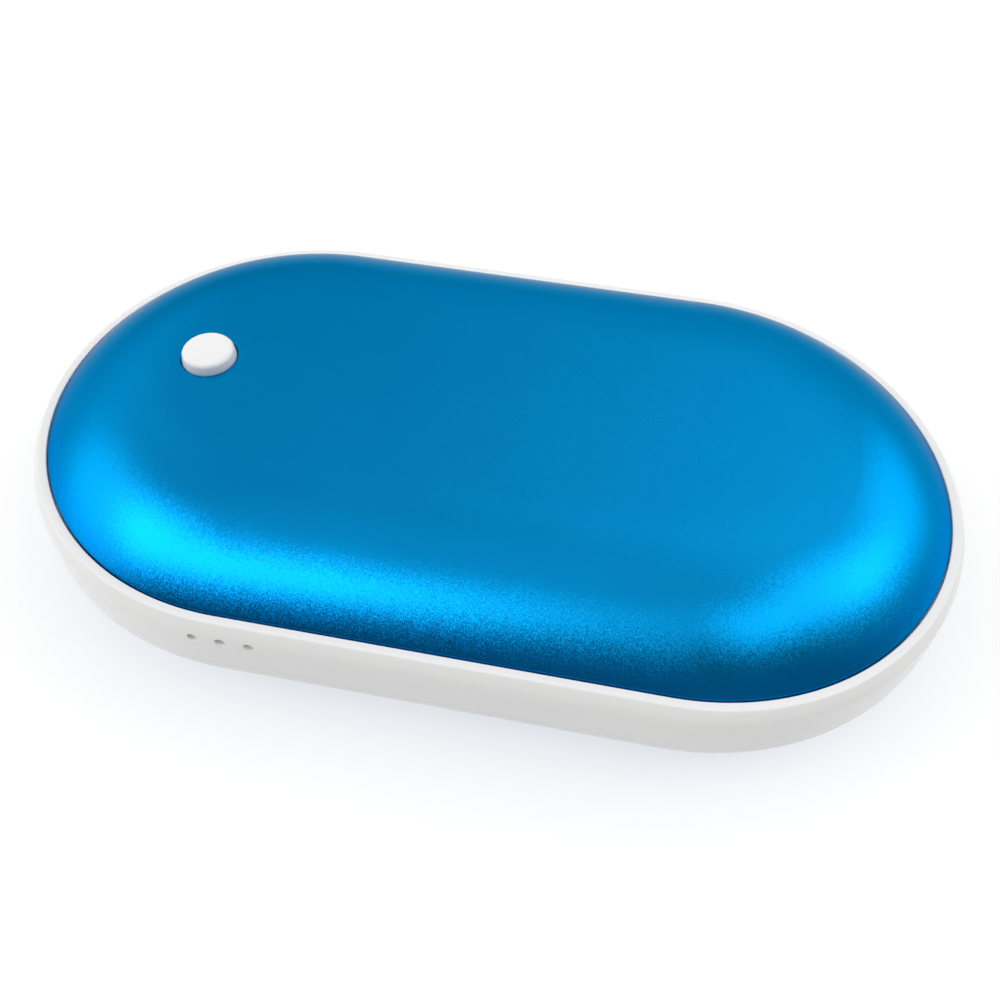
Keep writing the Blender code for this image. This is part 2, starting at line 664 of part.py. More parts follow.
def make_screws(body):
    """The three slotted screws that hold the board to the band's bosses."""
    seat = BOARD_TOP + BOND_GAP
    for number, (x, y) in enumerate(boss_places(), 1):
        tip = SCREW_RADIUS / 2
        screw = turned(
            [
                (tip, -SCREW_LENGTH),
                (SCREW_RADIUS, -SCREW_LENGTH + tip),
                (SCREW_RADIUS, 0),
                (SCREW_HEAD_RADIUS, 0),
                (SCREW_HEAD_RADIUS, SCREW_HEAD_HEIGHT / 2),
                (SCREW_RADIUS, SCREW_HEAD_HEIGHT),
            ]
        )
        made = piece(f"board_screw_{number}", screw, (x, y, seat), "steel", body)
        slot = block(2 * SCREW_HEAD_RADIUS, SCREW_SLOT_WIDTH, SCREW_SLOT_DEPTH + OVERRUN)
        cut(made, slot, (x, y, seat + SCREW_HEAD_HEIGHT - SCREW_SLOT_DEPTH))


def usb_spring_slot():
    """The U-shaped slot that frees a leaf spring in the output socket's metal."""
    x, y, t = USB_SPRING_LENGTH, USB_SPRING_WIDTH / 2, USB_SPRING_SLOT
    outline = [(0, -y - t), (x + t, -y - t), (x + t, y + t), (0, y + t), (0, y), (x, y), (x, -y), (0, -y)]
    return prism(outline, USB_HEIGHT + 2 * OVERRUN)


def make_usb_output(port):
    """The output socket: folded metal, plastic block with its tongue, and four contacts."""
    tube = turn_forward(prism(rounded(USB_WIDTH, USB_HEIGHT, USB_CORNER, FOLD_STEPS), USB_LENGTH))
    metal = piece("usb_output_shell", tube, (-USB_REACH, 0, 0), "steel", port)
    inner_width, inner_height = USB_WIDTH - 2 * USB_METAL, USB_HEIGHT - 2 * USB_METAL
    inner_corner = USB_CORNER - USB_METAL
    outline = rounded(inner_width, inner_height, inner_corner, FOLD_STEPS)
    hollow = turn_forward(prism(outline, USB_LENGTH + 2 * OVERRUN))
    cut(metal, hollow, (-USB_REACH - OVERRUN, 0, 0), port)
    for side in (-1, 1):
        place = (USB_SPRING_SETBACK - USB_REACH, side * USB_SPRING_Y, -USB_HEIGHT / 2 - OVERRUN)
        cut(metal, usb_spring_slot(), place, port)
    outline = rounded(inner_width - 2 * BOND_GAP, inner_height - 2 * BOND_GAP, inner_corner, FOLD_STEPS)
    back = turn_forward(prism(outline, USB_BLOCK))
    block_x = USB_LENGTH - USB_REACH - USB_BLOCK
    tongue = piece("usb_output_tongue", back, (block_x, 0, 0), "black_plastic", port)
    tongue_z = inner_height / 2 - USB_TONGUE_ROOM - USB_TONGUE_THICKNESS / 2
    tongue_x = USB_TONGUE_SETBACK - USB_REACH
    outline = rectangle(USB_TONGUE_WIDTH, USB_TONGUE_THICKNESS)
    plate = turn_forward(prism(outline, block_x - tongue_x + USB_BLOCK / 2))
    join(tongue, plate, (tongue_x, 0, tongue_z), port)
    under = tongue_z - USB_TONGUE_THICKNESS / 2 - BOND_GAP - USB_CONTACT_THICKNESS
    for number in range(1, USB_CONTACTS + 1):
        strip = block(USB_CONTACT_LENGTH, USB_CONTACT_WIDTH, USB_CONTACT_THICKNESS)
        y = USB_CONTACT_SPAN * ((number - 1) / (USB_CONTACTS - 1) - 1 / 2)
        x = block_x - BOND_GAP - USB_CONTACT_LENGTH / 2
        piece(f"usb_contact_{number}", strip, (x, y, under), "gold", port)


def micro_outline(width, height, chamfer):
    """Front of the charging socket: a flat top and chamfered lower corners."""
    y, z = width / 2, height / 2
    return [(y - chamfer, -z), (y, -z + chamfer), (y, z), (-y, z), (-y, -z + chamfer), (-y + chamfer, -z)]


def make_charging_socket(port):
    """The charging socket: folded metal and its plastic tongue."""
    tube = turn_forward(prism(micro_outline(MICRO_WIDTH, MICRO_HEIGHT, MICRO_CHAMFER), MICRO_LENGTH))
    metal = piece("charging_socket_shell", tube, (-MICRO_REACH, 0, 0), "steel", port)
    width, height = MICRO_WIDTH - 2 * MICRO_METAL, MICRO_HEIGHT - 2 * MICRO_METAL
    hollow = turn_forward(prism(micro_outline(width, height, MICRO_CHAMFER), MICRO_LENGTH + 2 * OVERRUN))
    cut(metal, hollow, (-MICRO_REACH - OVERRUN, 0, 0), port)
    gap = 2 * BOND_GAP
    back = turn_forward(prism(micro_outline(width - gap, height - gap, MICRO_CHAMFER), MICRO_BLOCK))
    block_x = MICRO_LENGTH - MICRO_REACH - MICRO_BLOCK
    tongue = piece("charging_socket_tongue", back, (block_x, 0, 0), "black_plastic", port)
    tongue_x = MICRO_TONGUE_SETBACK - MICRO_REACH
    outline = rectangle(MICRO_TONGUE_WIDTH, MICRO_TONGUE_THICKNESS)
    plate = turn_forward(prism(outline, block_x - tongue_x + MICRO_BLOCK / 2))
    join(tongue, plate, (tongue_x, 0, 0), port)


def make_switch(body, button):
    """The push switch: base with its well, snap dome, plunger and metal cover."""
    base = piece(
        "switch_base",
        block(SWITCH_WIDTH, SWITCH_WIDTH, SWITCH_BASE_HEIGHT),
        (SWITCH_X, 0, BOARD_TOP + BOND_GAP),
        "black_plastic",
        body,
    )
    well = turned([(SWITCH_WELL_RADIUS, z) for z in (0, SWITCH_WELL_DEPTH + OVERRUN)])
    cut(base, well, (SWITCH_X, 0, WELL_FLOOR))
    rim = SWITCH_WELL_RADIUS - FIT_GAP
    under = [(rim * share, DOME_RISE * (1 - share**2)) for share in DOME_SHARES]
    over = [(r, z + DOME_THICKNESS) for r, z in reversed(under)]
    dome = turned(under + over)
    piece("switch_dome", dome, (SWITCH_X, 0, WELL_FLOOR + BOND_GAP), "steel", body)
    cover_z = BASE_TOP + BOND_GAP
    outer = SWITCH_WIDTH + 2 * (BOND_GAP + SWITCH_COVER_THICKNESS)
    cover = piece(
        "switch_cover",
        block(outer, SWITCH_WIDTH, SWITCH_COVER_SKIRT + SWITCH_COVER_THICKNESS),
        (SWITCH_X, 0, cover_z - SWITCH_COVER_SKIRT),
        "steel",
        body,
    )
    inside = block(SWITCH_WIDTH + 2 * BOND_GAP, SWITCH_WIDTH + OVERRUN, SWITCH_COVER_SKIRT + OVERRUN)
    cut(cover, inside, (SWITCH_X, 0, cover_z - SWITCH_COVER_SKIRT - OVERRUN))
    opening = turned([(PLUNGER_RADIUS + FIT_GAP, z) for z in (0, SWITCH_BASE_HEIGHT)])
    cut(cover, opening, (SWITCH_X, 0, BASE_TOP - SWITCH_COVER_THICKNESS))
    foot = PLUNGER_FLANGE_BOTTOM
    plunger = turned(
        [
            (rim, 0),
            (rim, PLUNGER_FLANGE_HEIGHT),
            (PLUNGER_RADIUS, PLUNGER_FLANGE_HEIGHT),
            (PLUNGER_RADIUS, PLUNGER_TOP - foot),
        ]
    )
    piece("switch_plunger", plunger, (0, 0, foot - FLANGE_SEAT), "black_plastic", button)


def make_button(body, button):
    """The power button with its flange and stem, and the cup that holds it under the shell."""
    top = TOTAL_HEIGHT + BUTTON_PROUD - FLANGE_SEAT
    stem_foot = PLUNGER_TOP + BOND_GAP - FLANGE_SEAT
    flange_foot = -BUTTON_FLANGE_HEIGHT
    face = BUTTON_RADIUS - BUTTON_TAPER
    rounding = [
        (face - BUTTON_EDGE * (1 - math.cos(a)), top - BUTTON_CROWN - BUTTON_EDGE * (1 - math.sin(a)))
        for a in (math.pi / 2 * i / EDGE_STEPS for i in range(EDGE_STEPS + 1))
    ]
    crown = [
        ((face - BUTTON_EDGE) * share, top - BUTTON_CROWN * share**2) for share in CROWN_SHARES
    ]
    profile = [
        (BUTTON_STEM_RADIUS, stem_foot),
        (BUTTON_STEM_RADIUS, flange_foot),
        (BUTTON_FLANGE_RADIUS, flange_foot),
        (BUTTON_FLANGE_RADIUS, 0),
        (BUTTON_RADIUS, 0),
        (BUTTON_RADIUS, TOTAL_HEIGHT - FLANGE_SEAT),
    ]
    cap = turned(profile + rounding + crown, ROUND_STEPS)
    piece("power_button", cap, (0, 0, 0), "button_plastic", button)
    cup_top = RETAINER_SEAT
    floor_top = RETAINER_FLOOR_TOP - cup_top
    stem_hole = BUTTON_STEM_RADIUS + RETAINER_CLEARANCE
    cup = turned(
        [
            (stem_hole, floor_top - RETAINER_FLOOR),
            (RETAINER_RADIUS, floor_top - RETAINER_FLOOR),
            (RETAINER_RADIUS, 0),
            (RETAINER_INNER, 0),
            (RETAINER_INNER, floor_top),
            (stem_hole, floor_top),
        ],
        ROUND_STEPS,
        closed=True,
    )
    piece("button_retainer", cup, (SWITCH_X, 0, cup_top), "black_plastic", body)


def light_places():
    """Where the three status lights lie along the band."""
    return [LIGHT_X + step * LIGHT_PITCH for step in (-1, 0, 1)]


def make_lights(body):
    """The clear guide with a pin for each light hole, and the three lights behind it."""
    left = LIGHT_X - LIGHT_PITCH - LIGHT_GUIDE_MARGIN
    right = LIGHT_X + LIGHT_PITCH + LIGHT_GUIDE_MARGIN
    outer_y = -band_side(left, FLANGE_RADIUS) + FIT_GAP
    inner_y = outer_y + LIGHT_GUIDE_DEPTH
    foot = BOARD_TOP + FIT_GAP
    height = LIGHT_Z + LIGHT_GUIDE_MARGIN - foot
    bar = block(right - left, LIGHT_GUIDE_DEPTH, height)
    guide = piece("light_guide", bar, (LIGHT_X, (outer_y + inner_y) / 2, foot), "clear_plastic", body)
    for number, place in enumerate(light_places(), 1):
        length = band_side(place, BODY_RADIUS) - LIGHT_PIN_RECESS + (outer_y + inner_y) / 2
        pin = turned([(LIGHT_PIN_RADIUS, z) for z in (0, length)])
        bmesh.ops.rotate(pin, verts=pin.verts, matrix=Matrix.Rotation(math.radians(90), 3, "X"))
        join(guide, pin, (place, (outer_y + inner_y) / 2, LIGHT_Z))
        lamp_y = inner_y + FIT_GAP + LED_DEPTH / 2
        lamp = block(LED_WIDTH, LED_DEPTH, LED_HEIGHT)
        piece(f"status_light_{number}", lamp, (place, lamp_y, BOARD_TOP + BOND_GAP), "led_white", body)


def make_board_parts(body):
    """The coil, capacitor and chips of the charging, output and heating circuits."""
    seat = BOARD_TOP + BOND_GAP
    lane = SWITCH_WIDTH / 2 + LANE_GAP
    cap_y = lane + INDUCTOR_WIDTH / 2 + CAPACITOR_RADIUS
    cap_x = SOCKET_END_X + PART_GAP + CAPACITOR_RADIUS
    groove = CAPACITOR_RADIUS - CAPACITOR_GROOVE
    can = [
        (CAPACITOR_RADIUS, 0),
        (CAPACITOR_RADIUS, CAPACITOR_GROOVE),
        (groove, 2 * CAPACITOR_GROOVE),
        (CAPACITOR_RADIUS, 3 * CAPACITOR_GROOVE),
        (CAPACITOR_RADIUS, CAPACITOR_HEIGHT - CAPACITOR_GROOVE),
        (groove, CAPACITOR_HEIGHT),
    ]
    piece("output_capacitor", turned(can), (cap_x, cap_y, seat), "cell_foil", body)
    coil_x = cap_x + CAPACITOR_RADIUS + PART_GAP + INDUCTOR_WIDTH / 2
    coil_y = lane + INDUCTOR_WIDTH / 2
    foot = prism(rounded(INDUCTOR_WIDTH, INDUCTOR_WIDTH, INDUCTOR_COLLAR), INDUCTOR_COLLAR)
    coil = piece("power_inductor", foot, (coil_x, coil_y, seat), "ferrite", body)
    core = turned([(INDUCTOR_CORE_RADIUS, z) for z in (0, INDUCTOR_HEIGHT - INDUCTOR_COLLAR)])
    join(coil, core, (coil_x, coil_y, seat + INDUCTOR_COLLAR / 2))
    head = prism(rounded(INDUCTOR_WIDTH, INDUCTOR_WIDTH, INDUCTOR_COLLAR), INDUCTOR_COLLAR)
    join(coil, head, (coil_x, coil_y, seat + INDUCTOR_HEIGHT - INDUCTOR_COLLAR))
    charger_x = SOCKET_END_X + PART_GAP + CHARGER_WIDTH / 2
    charger = block(CHARGER_WIDTH, CHARGER_WIDTH, CHARGER_HEIGHT)
    piece("charger_chip", charger, (charger_x, -lane - CHARGER_WIDTH / 2, seat), "black_plastic", body)
    control_x = charger_x + CHARGER_WIDTH / 2 + PART_GAP + CONTROLLER_WIDTH / 2
    control = block(CONTROLLER_WIDTH, CONTROLLER_WIDTH, CONTROLLER_HEIGHT)
    control_y = -lane - CONTROLLER_WIDTH / 2
    piece("controller_chip", control, (control_x, control_y, seat), "black_plastic", body)
    driver_y = -lane - CONTROLLER_WIDTH - PART_GAP - TRANSISTOR_WIDTH / 2
    driver = block(TRANSISTOR_LENGTH, TRANSISTOR_WIDTH, TRANSISTOR_HEIGHT)
    piece("heater_transistor", driver, (control_x, driver_y, seat), "black_plastic", body)


# Cell, heaters and wires


def make_cell(body):
    """The pouch cell, its two tabs and the guard board at its end."""
    pouch = prism(rounded(CELL_LENGTH, CELL_WIDTH, CELL_EDGE), CELL_THICKNESS)
    cell = piece("battery_cell", pouch, (CELL_X, 0, CELL_BOTTOM), "cell_foil", body)
    soften = cell.modifiers.new("soft_edges", "BEVEL")
    soften.width = CELL_EDGE / 2
    soften.segments = 2
    soften.limit_method = "ANGLE"
    soften.angle_limit = math.radians(60)
    guard_x = CELL_LEFT_X - GUARD_BOARD_SPACE / 2
    guard = block(GUARD_BOARD_THICKNESS, GUARD_BOARD_WIDTH, GUARD_BOARD_HEIGHT)
    piece("battery_guard_board", guard, (guard_x, 0, MIDDLE - GUARD_BOARD_HEIGHT / 2), "board_green", body)
    start = guard_x + GUARD_BOARD_THICKNESS / 2 + BOND_GAP
    length = CELL_LEFT_X - BOND_GAP - start
    for name, side in (("battery_tab_positive", 1), ("battery_tab_negative", -1)):
        tab = block(length, TAB_WIDTH, TAB_THICKNESS)
        place = (start + length / 2, side * TAB_SPACING / 2, MIDDLE)
        piece(name, tab, place, "cell_foil", body)


def zigzag(left, right, half):
    """Outline of a heater's trace: columns TRACE_PITCH apart, joined by turn at either side."""
    count = int((right - left) / TRACE_PITCH)
    w = TRACE_WIDTH / 2
    going, back = [(left - w, -half)], [(left + w, -half)]
    for i in range(count):
        x, beyond = left + i * TRACE_PITCH, left + (i + 1) * TRACE_PITCH
        side = 1 if i % 2 == 0 else -1
        going += [(x - side * w, side * half + w), (beyond + side * w, side * half + w)]
        back += [(x + side * w, side * half - w), (beyond - side * w, side * half - w)]
    side = 1 if count % 2 == 0 else -1
    x = left + count * TRACE_PITCH
    going.append((x - side * w, side * half))
    back.append((x + side * w, side * half))
    return going + list(reversed(back))


def heater_film(name, left, z, side, body):
    """A film heater with its raised, zigzag trace on the side away from the shell."""
    film = piece(
        name, prism(stadium(HEATER_RADIUS, left, SPINE), HEATER_THICKNESS), (0, 0, z), "amber_film", body
    )
    outline = zigzag(left, SPINE, HEATER_RADIUS - TRACE_MARGIN)
    trace = prism(outline, TRACE_HEIGHT + HEATER_THICKNESS / 2)
    low = z + HEATER_THICKNESS / 2 if side > 0 else z - TRACE_HEIGHT
    join(film, trace, (0, 0, low))


def make_heaters(body):
    """The film heaters on the flat insides of both shells."""
    heater_film("top_heater", UPPER_HEATER_LEFT_X + HEATER_RADIUS, UPPER_HEATER_BOTTOM, -1, body)
    heater_film("bottom_heater", -SPINE, INSIDE_BOTTOM + BOND_GAP, 1, body)


def make_pads(body):
    """The foam pads that press the heaters on the shells."""
    length = CELL_LENGTH - 2 * PAD_INSET
    width = 2 * (HEATER_RADIUS - TRACE_MARGIN / 2)
    upper_foot = CELL_TOP + PAD_GAP
    upper = prism(
        rounded(length, width, PAD_CORNER), UPPER_HEATER_BOTTOM - TRACE_HEIGHT - PAD_GAP - upper_foot
    )
    piece("top_foam_pad", upper, (CELL_X, 0, upper_foot), "grey_foam", body)
    lower_foot = LOWER_HEATER_TOP + TRACE_HEIGHT + PAD_GAP
    lower = prism(rounded(length, width, PAD_CORNER), CELL_BOTTOM - PAD_GAP - lower_foot)
    piece("bottom_foam_pad", lower, (CELL_X, 0, lower_foot), "grey_foam", body)


def make_wires(body):
    """The heaters' wires, the cell's wires and the sensor with its two thin wires."""
    half = WIRE_DIAMETER / 2
    upper_end = UPPER_HEATER_BOTTOM - TRACE_HEIGHT - FIT_GAP
    lower_end = LOWER_HEATER_TOP + TRACE_HEIGHT + FIT_GAP
    upper_x = BOARD_END_X - HEATER_WIRE_SETBACK
    lower_x = BOARD_END_X - LOWER_WIRE_SETBACK
    for number, side in ((1, 1), (2, -1)):
        y = side * HEATER_WIRE_Y
        finish = "red_wire" if side > 0 else "black_wire"
        down = drop((upper_x, y, upper_end), (upper_x, y, BOARD_TOP + FIT_GAP), -WIRE_BOW)
        wire(f"top_heater_wire_{number}", down, WIRE_DIAMETER, finish, body)
        up = drop((lower_x, y, lower_end), (lower_x, y, BOARD_BOTTOM - FIT_GAP), -WIRE_BOW)
        wire(f"bottom_heater_wire_{number}", up, WIRE_DIAMETER, finish, body)
    guard_x = CELL_LEFT_X - GUARD_BOARD_SPACE / 2
    guard_top = MIDDLE + GUARD_BOARD_HEIGHT / 2 + FIT_GAP
    clear = FLANGE_TOP + half + FIT_GAP
    rise = (max(clear - guard_top, 0) + WIRE_RISE) * 4 / 3
    for number, (name, finish) in enumerate(
        (("battery_wire_positive", "red_wire"), ("battery_wire_negative", "black_wire"))
    ):
        y = CELL_WIRE_SIDE + number * CELL_WIRE_SPACING
        start = (guard_x, y, guard_top)
        end = (BOARD_END_X - CELL_WIRE_SETBACK, y, BOARD_TOP + FIT_GAP)
        wire(name, bend(start, end, (0, 0, rise)), WIRE_DIAMETER, finish, body)
    bead_x = BOARD_END_X - SENSOR_SETBACK
    bead_z = upper_end - SENSOR_BEAD_RADIUS
    bead_profile = [
        (SENSOR_BEAD_RADIUS * math.sin(a), -SENSOR_BEAD_LENGTH / 2 * math.cos(a))
        for a in (math.pi * share for share in BEAD_SHARES)
    ]
    bead = turn_forward(turned(bead_profile))
    piece("heat_sensor", bead, (bead_x, SENSOR_Y, bead_z), "amber_film", body)
    for number, side in ((1, -1), (2, 1)):
        y = SENSOR_Y + side * SENSOR_WIRE_SPACING / 2
        start = (bead_x, y, bead_z - SENSOR_BEAD_RADIUS - FIT_GAP)
        path = drop(start, (bead_x, y, BOARD_TOP + FIT_GAP), -WIRE_BOW)
        wire(f"heat_sensor_wire_{number}", path, SENSOR_WIRE_DIAMETER, "black_wire", body)


def main():
    clear_scene()
    body = empty("hand_warmer", (0, 0, 0))
    button = empty("button_travel", (SWITCH_X, 0, FLANGE_SEAT), body)
    usb_port = empty("usb_port", (-SPINE, 0, MIDDLE), body)
    charging_port = empty("charging_port", (-SPINE, 0, MIDDLE), body)
    charging_port.rotation_euler = (0, 0, -MICRO_ANGLE)
    ports = [
        (usb_port, USB_REACH, USB_WIDTH, USB_HEIGHT, USB_LENGTH),
        (charging_port, MICRO_REACH, MICRO_WIDTH, MICRO_HEIGHT, MICRO_LENGTH),
    ]
    make_shells(body)
    make_seals(body)
    make_band(body, ports)
    make_board(body, ports)
    make_screws(body)
    make_usb_output(usb_port)
    make_charging_socket(charging_port)
    make_switch(body, button)
    make_button(body, button)
    make_lights(body)
    make_board_parts(body)
    make_cell(body)
    make_heaters(body)
    make_pads(body)
    make_wires(body)
    settle_pieces()


main()
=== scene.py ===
# %% [markdown]
# # A pocket hand warmer, dressed for its picture
#
# A rechargeable hand warmer lies flat on a white table. Two pressed shells of blue aluminium
# close over a white plastic band. A round white button stands out of the upper shell, three
# tiny light holes are in the band's side, and two sockets open in its end.
#
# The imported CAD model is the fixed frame: every new surface is worked out in the same metres
# and the same axes, so nothing is fitted by eye. X runs along the warmer, Y across it and Z up.

import bpy
import numpy as np
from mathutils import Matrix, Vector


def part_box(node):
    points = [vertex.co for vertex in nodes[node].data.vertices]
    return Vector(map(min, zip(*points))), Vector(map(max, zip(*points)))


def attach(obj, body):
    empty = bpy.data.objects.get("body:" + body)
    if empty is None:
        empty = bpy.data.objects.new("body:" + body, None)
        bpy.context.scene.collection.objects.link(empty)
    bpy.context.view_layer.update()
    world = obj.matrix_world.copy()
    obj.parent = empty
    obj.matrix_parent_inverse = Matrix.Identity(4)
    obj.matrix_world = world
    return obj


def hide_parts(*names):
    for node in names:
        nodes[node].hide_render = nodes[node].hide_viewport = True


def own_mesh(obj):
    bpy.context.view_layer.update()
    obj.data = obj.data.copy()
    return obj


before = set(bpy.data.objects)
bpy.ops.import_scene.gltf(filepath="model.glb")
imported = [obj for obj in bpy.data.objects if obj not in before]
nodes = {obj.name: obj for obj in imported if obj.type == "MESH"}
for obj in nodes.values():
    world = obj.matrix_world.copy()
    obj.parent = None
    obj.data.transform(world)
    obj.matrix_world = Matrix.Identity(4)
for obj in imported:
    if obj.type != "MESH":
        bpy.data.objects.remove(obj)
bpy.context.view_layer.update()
MM = 0.001

# %% [markdown]
# ## The camera
#
# The photograph was taken from above the front edge, from close by: the lens is about as far
# away as the warmer is long. A camera's place and turn are easiest to state as three
# directions: back, from the object to the lens, then right and up in the picture. The turn of
# the picture about the line of sight is kept as a small roll, and the shift slides the picture
# in its frame.

# %% Place the camera
CAMERA_AZIMUTH, CAMERA_ELEVATION, CAMERA_ROLL = 0.164, 0.845, 0.029  # radians
CAMERA_DISTANCE = 114.1 * MM
AIM = np.array((0.0, 0.0, 14.8 * MM))
SENSOR_WIDTH, LENS = 36.0, 36.31  # in millimetres, as Blender counts them for a camera
SHIFT_X, SHIFT_Y = 0.00893, -0.0631  # shares of the picture's width
NEAR, FAR = 1 * MM, 10.0

back = np.array((
    np.sin(CAMERA_AZIMUTH) * np.cos(CAMERA_ELEVATION),
    -np.cos(CAMERA_AZIMUTH) * np.cos(CAMERA_ELEVATION),
    np.sin(CAMERA_ELEVATION),
))
level = np.array((np.cos(CAMERA_AZIMUTH), np.sin(CAMERA_AZIMUTH), 0.0))
rise = np.cross(back, level)
right = np.cos(CAMERA_ROLL) * level + np.sin(CAMERA_ROLL) * rise
up = np.cos(CAMERA_ROLL) * rise - np.sin(CAMERA_ROLL) * level

camera = bpy.data.objects.new("camera", bpy.data.cameras.new("camera"))
bpy.context.scene.collection.objects.link(camera)
placed = np.eye(4)
placed[:3, :3] = np.stack([right, up, back], axis=1)
placed[:3, 3] = AIM + CAMERA_DISTANCE * back
camera.matrix_world = placed.T.tolist()
camera.data.sensor_width, camera.data.lens = SENSOR_WIDTH, LENS
camera.data.shift_x, camera.data.shift_y = SHIFT_X, SHIFT_Y
camera.data.clip_start, camera.data.clip_end = NEAR, FAR
bpy.context.scene.camera = camera
bpy.context.scene.view_settings.view_transform = "Standard"
print("camera stands at", [round(float(v), 4) for v in placed[:3, 3]])

# %% [markdown]
# ## Surfaces as grids of points
#
# A pressed or moulded form is a surface of two parameters: one runs round the warmer and the
# other along its section. Numpy works out the whole grid at once, and the faces are the
# grid's cells. The skin is even and smooth, and every size in it stays a named number.

# %% Turn a grid into a mesh


def grid_faces(rows, columns, wrap_rows=False):
    """Cell (i, j) joins the points (i, j), (i, j+1), (i+1, j+1) and (i+1, j). Point (i, j) has
    the number i * columns + j. A row's last point meets its first one, and where rows wrap, the
    last row meets the first one too."""
    strips = rows if wrap_rows else rows - 1
    i, j = np.meshgrid(np.arange(strips), np.arange(columns), indexing="ij")
    row, next_row, next_j = i * columns, (i + 1) % rows * columns, (j + 1) % columns
    cells = [row + j, row + next_j, next_row + next_j, next_row + j]
    return np.stack(cells, axis=-1).reshape(-1, 4)


def make_piece(name, points, faces, caps=()):
    """An object whose mesh has these points in metres. Caps are single faces with many corners.
    Faces that are turned the wrong way are turned outwards."""
    mesh = bpy.data.meshes.new(name)
    all_faces = faces.tolist() + [list(cap) for cap in caps]
    mesh.from_pydata(points.reshape(-1, 3).tolist(), [], all_faces)
    piece = bpy.data.objects.new(name, mesh)
    bpy.context.scene.collection.objects.link(piece)
    if signed_volume(mesh) < 0:
        mesh.flip_normals()
    return piece


def signed_volume(mesh):
    """A sixth of the sum of a . (b x c) over all triangles a, b, c: above zero when the faces
    of a closed mesh point outwards."""
    mesh.calc_loop_triangles()
    corners = np.empty(len(mesh.loop_triangles) * 3, np.int32)
    mesh.loop_triangles.foreach_get("vertices", corners)
    places = np.empty(len(mesh.vertices) * 3, np.float32)
    mesh.vertices.foreach_get("co", places)
    a, b, c = places.reshape(-1, 3)[corners.reshape(-1, 3)].transpose(1, 0, 2).astype(float)
    return float(np.einsum("ij,ij->", a, np.cross(b, c)) / 6)


def smooth(piece, sharp_over=35):
    """Shades a piece smooth, and keeps edges sharp that turn by more than so many degrees."""
    piece.data.shade_smooth()
    piece.data.set_sharp_from_angle(angle=np.radians(sharp_over))
    return piece


print("grid and mesh helpers are ready")

# %% [markdown]
# ## The stadium that everything follows
#
# Seen from above, the warmer is a stadium: two half circles joined by straight sides. Its
# spine is the line between the circles' centres. Any point of an outer surface is a place on
# that spine plus a distance outwards, so one table of places and directions serves the
# shells, the band and the seals.

# %% Walk round the stadium
SPINE = 22.2 * MM
END_POINTS, SIDE_POINTS = 96, 44


def stadium_walk():
    """Places x on the spine and unit directions (dx, dy) outwards, counterclockwise: the right
    half circle, the back side, the left half circle and the front side."""
    quarter = np.pi / 2
    half_turn = np.linspace(-quarter, quarter, END_POINTS, endpoint=False)
    along = np.linspace(SPINE, -SPINE, SIDE_POINTS, endpoint=False)
    end, side = np.full(END_POINTS, SPINE), np.full(SIDE_POINTS, quarter)
    x = np.concatenate([end, along, -end, -along])
    angle = np.concatenate([half_turn, side, half_turn + np.pi, -side])
    return x, np.cos(angle), np.sin(angle)


walk_x, walk_dx, walk_dy = stadium_walk()


def ring(radius, z):
    """One stadium of points at these distances from the spine and this height:
    (x + r dx, r dy, z)."""
    radius, z = np.broadcast_to(radius, walk_x.shape), np.broadcast_to(z, walk_x.shape)
    return np.stack([walk_x + radius * walk_dx, radius * walk_dy, z], axis=-1)


def carry_round(section):
    """A section of (distance from the spine, height) pairs carried round the whole stadium."""
    return np.stack([ring(radius, z) for radius, z in section])


print("points round the stadium:", len(walk_x))

# %% [markdown]
# ## The pressed aluminium shells
#
# Shells like these are drawn in a press from thin sheet. The middle is flat, and the sheet
# rolls over in one long arc to a steep edge that drops into the band. The surface
# is therefore a height over the flat plane that depends only on the distance from the spine:
# flat up to LAND, then a circle of radius ROLL.

# %% Heights of a shell
BAND_TOP, BAND_BOTTOM = 14.8 * MM, 6.4 * MM
PILLOW, ROLL, LAND = 6.4 * MM, 20.96 * MM, 13.023 * MM
SHELL_EDGE, SHEET, LIP = 28.1 * MM, 0.8 * MM, 0.5 * MM
EDGE_ROUND = 0.35 * MM
BLEND_RING = 17 * MM
ARC_POINTS, EDGE_POINTS, INNER_POINTS = 40, 8, 24


def pillow(distance, sheet=0.0):
    """Height above the band: PILLOW - ROLL + root((ROLL - sheet)^2 - m^2), where m is how far
    the distance from the spine passes LAND. With a sheet thickness it is the inner face."""
    past = np.clip(distance - LAND, 0, None)
    return PILLOW - ROLL + np.sqrt((ROLL - sheet) ** 2 - past**2)


def spine_distance(x, y):
    """Distance of points from the spine, which ends at plus and minus SPINE."""
    return np.hypot(np.clip(np.abs(x) - SPINE, 0, None), y)


def edge_section(inner_start):
    """The shell's section from the pillow's arc, over the rounded edge, down to the lip and
    back up inside. The rounding is a circle that touches both the arc and the upright lip."""
    edge_in = SHELL_EDGE - EDGE_ROUND
    centre_z = PILLOW - ROLL + np.sqrt((ROLL - EDGE_ROUND) ** 2 - (edge_in - LAND) ** 2)
    touch = np.arcsin((edge_in - LAND) / (ROLL - EDGE_ROUND))
    lean = np.linspace(np.arcsin((inner_start - LAND) / ROLL), touch, ARC_POINTS)
    arc = [(LAND + ROLL * np.sin(a), PILLOW - ROLL + ROLL * np.cos(a)) for a in lean]
    turn = np.linspace(touch, np.pi / 2, EDGE_POINTS)[1:]
    edge = [(edge_in + EDGE_ROUND * np.sin(a), centre_z + EDGE_ROUND * np.cos(a)) for a in turn]
    inside_edge = SHELL_EDGE - SHEET
    lip = [(SHELL_EDGE, -LIP), (inside_edge, -LIP)]
    back_in = np.linspace(inside_edge, inner_start, INNER_POINTS)
    return arc + edge + lip + [(r, float(pillow(r, SHEET))) for r in back_in]


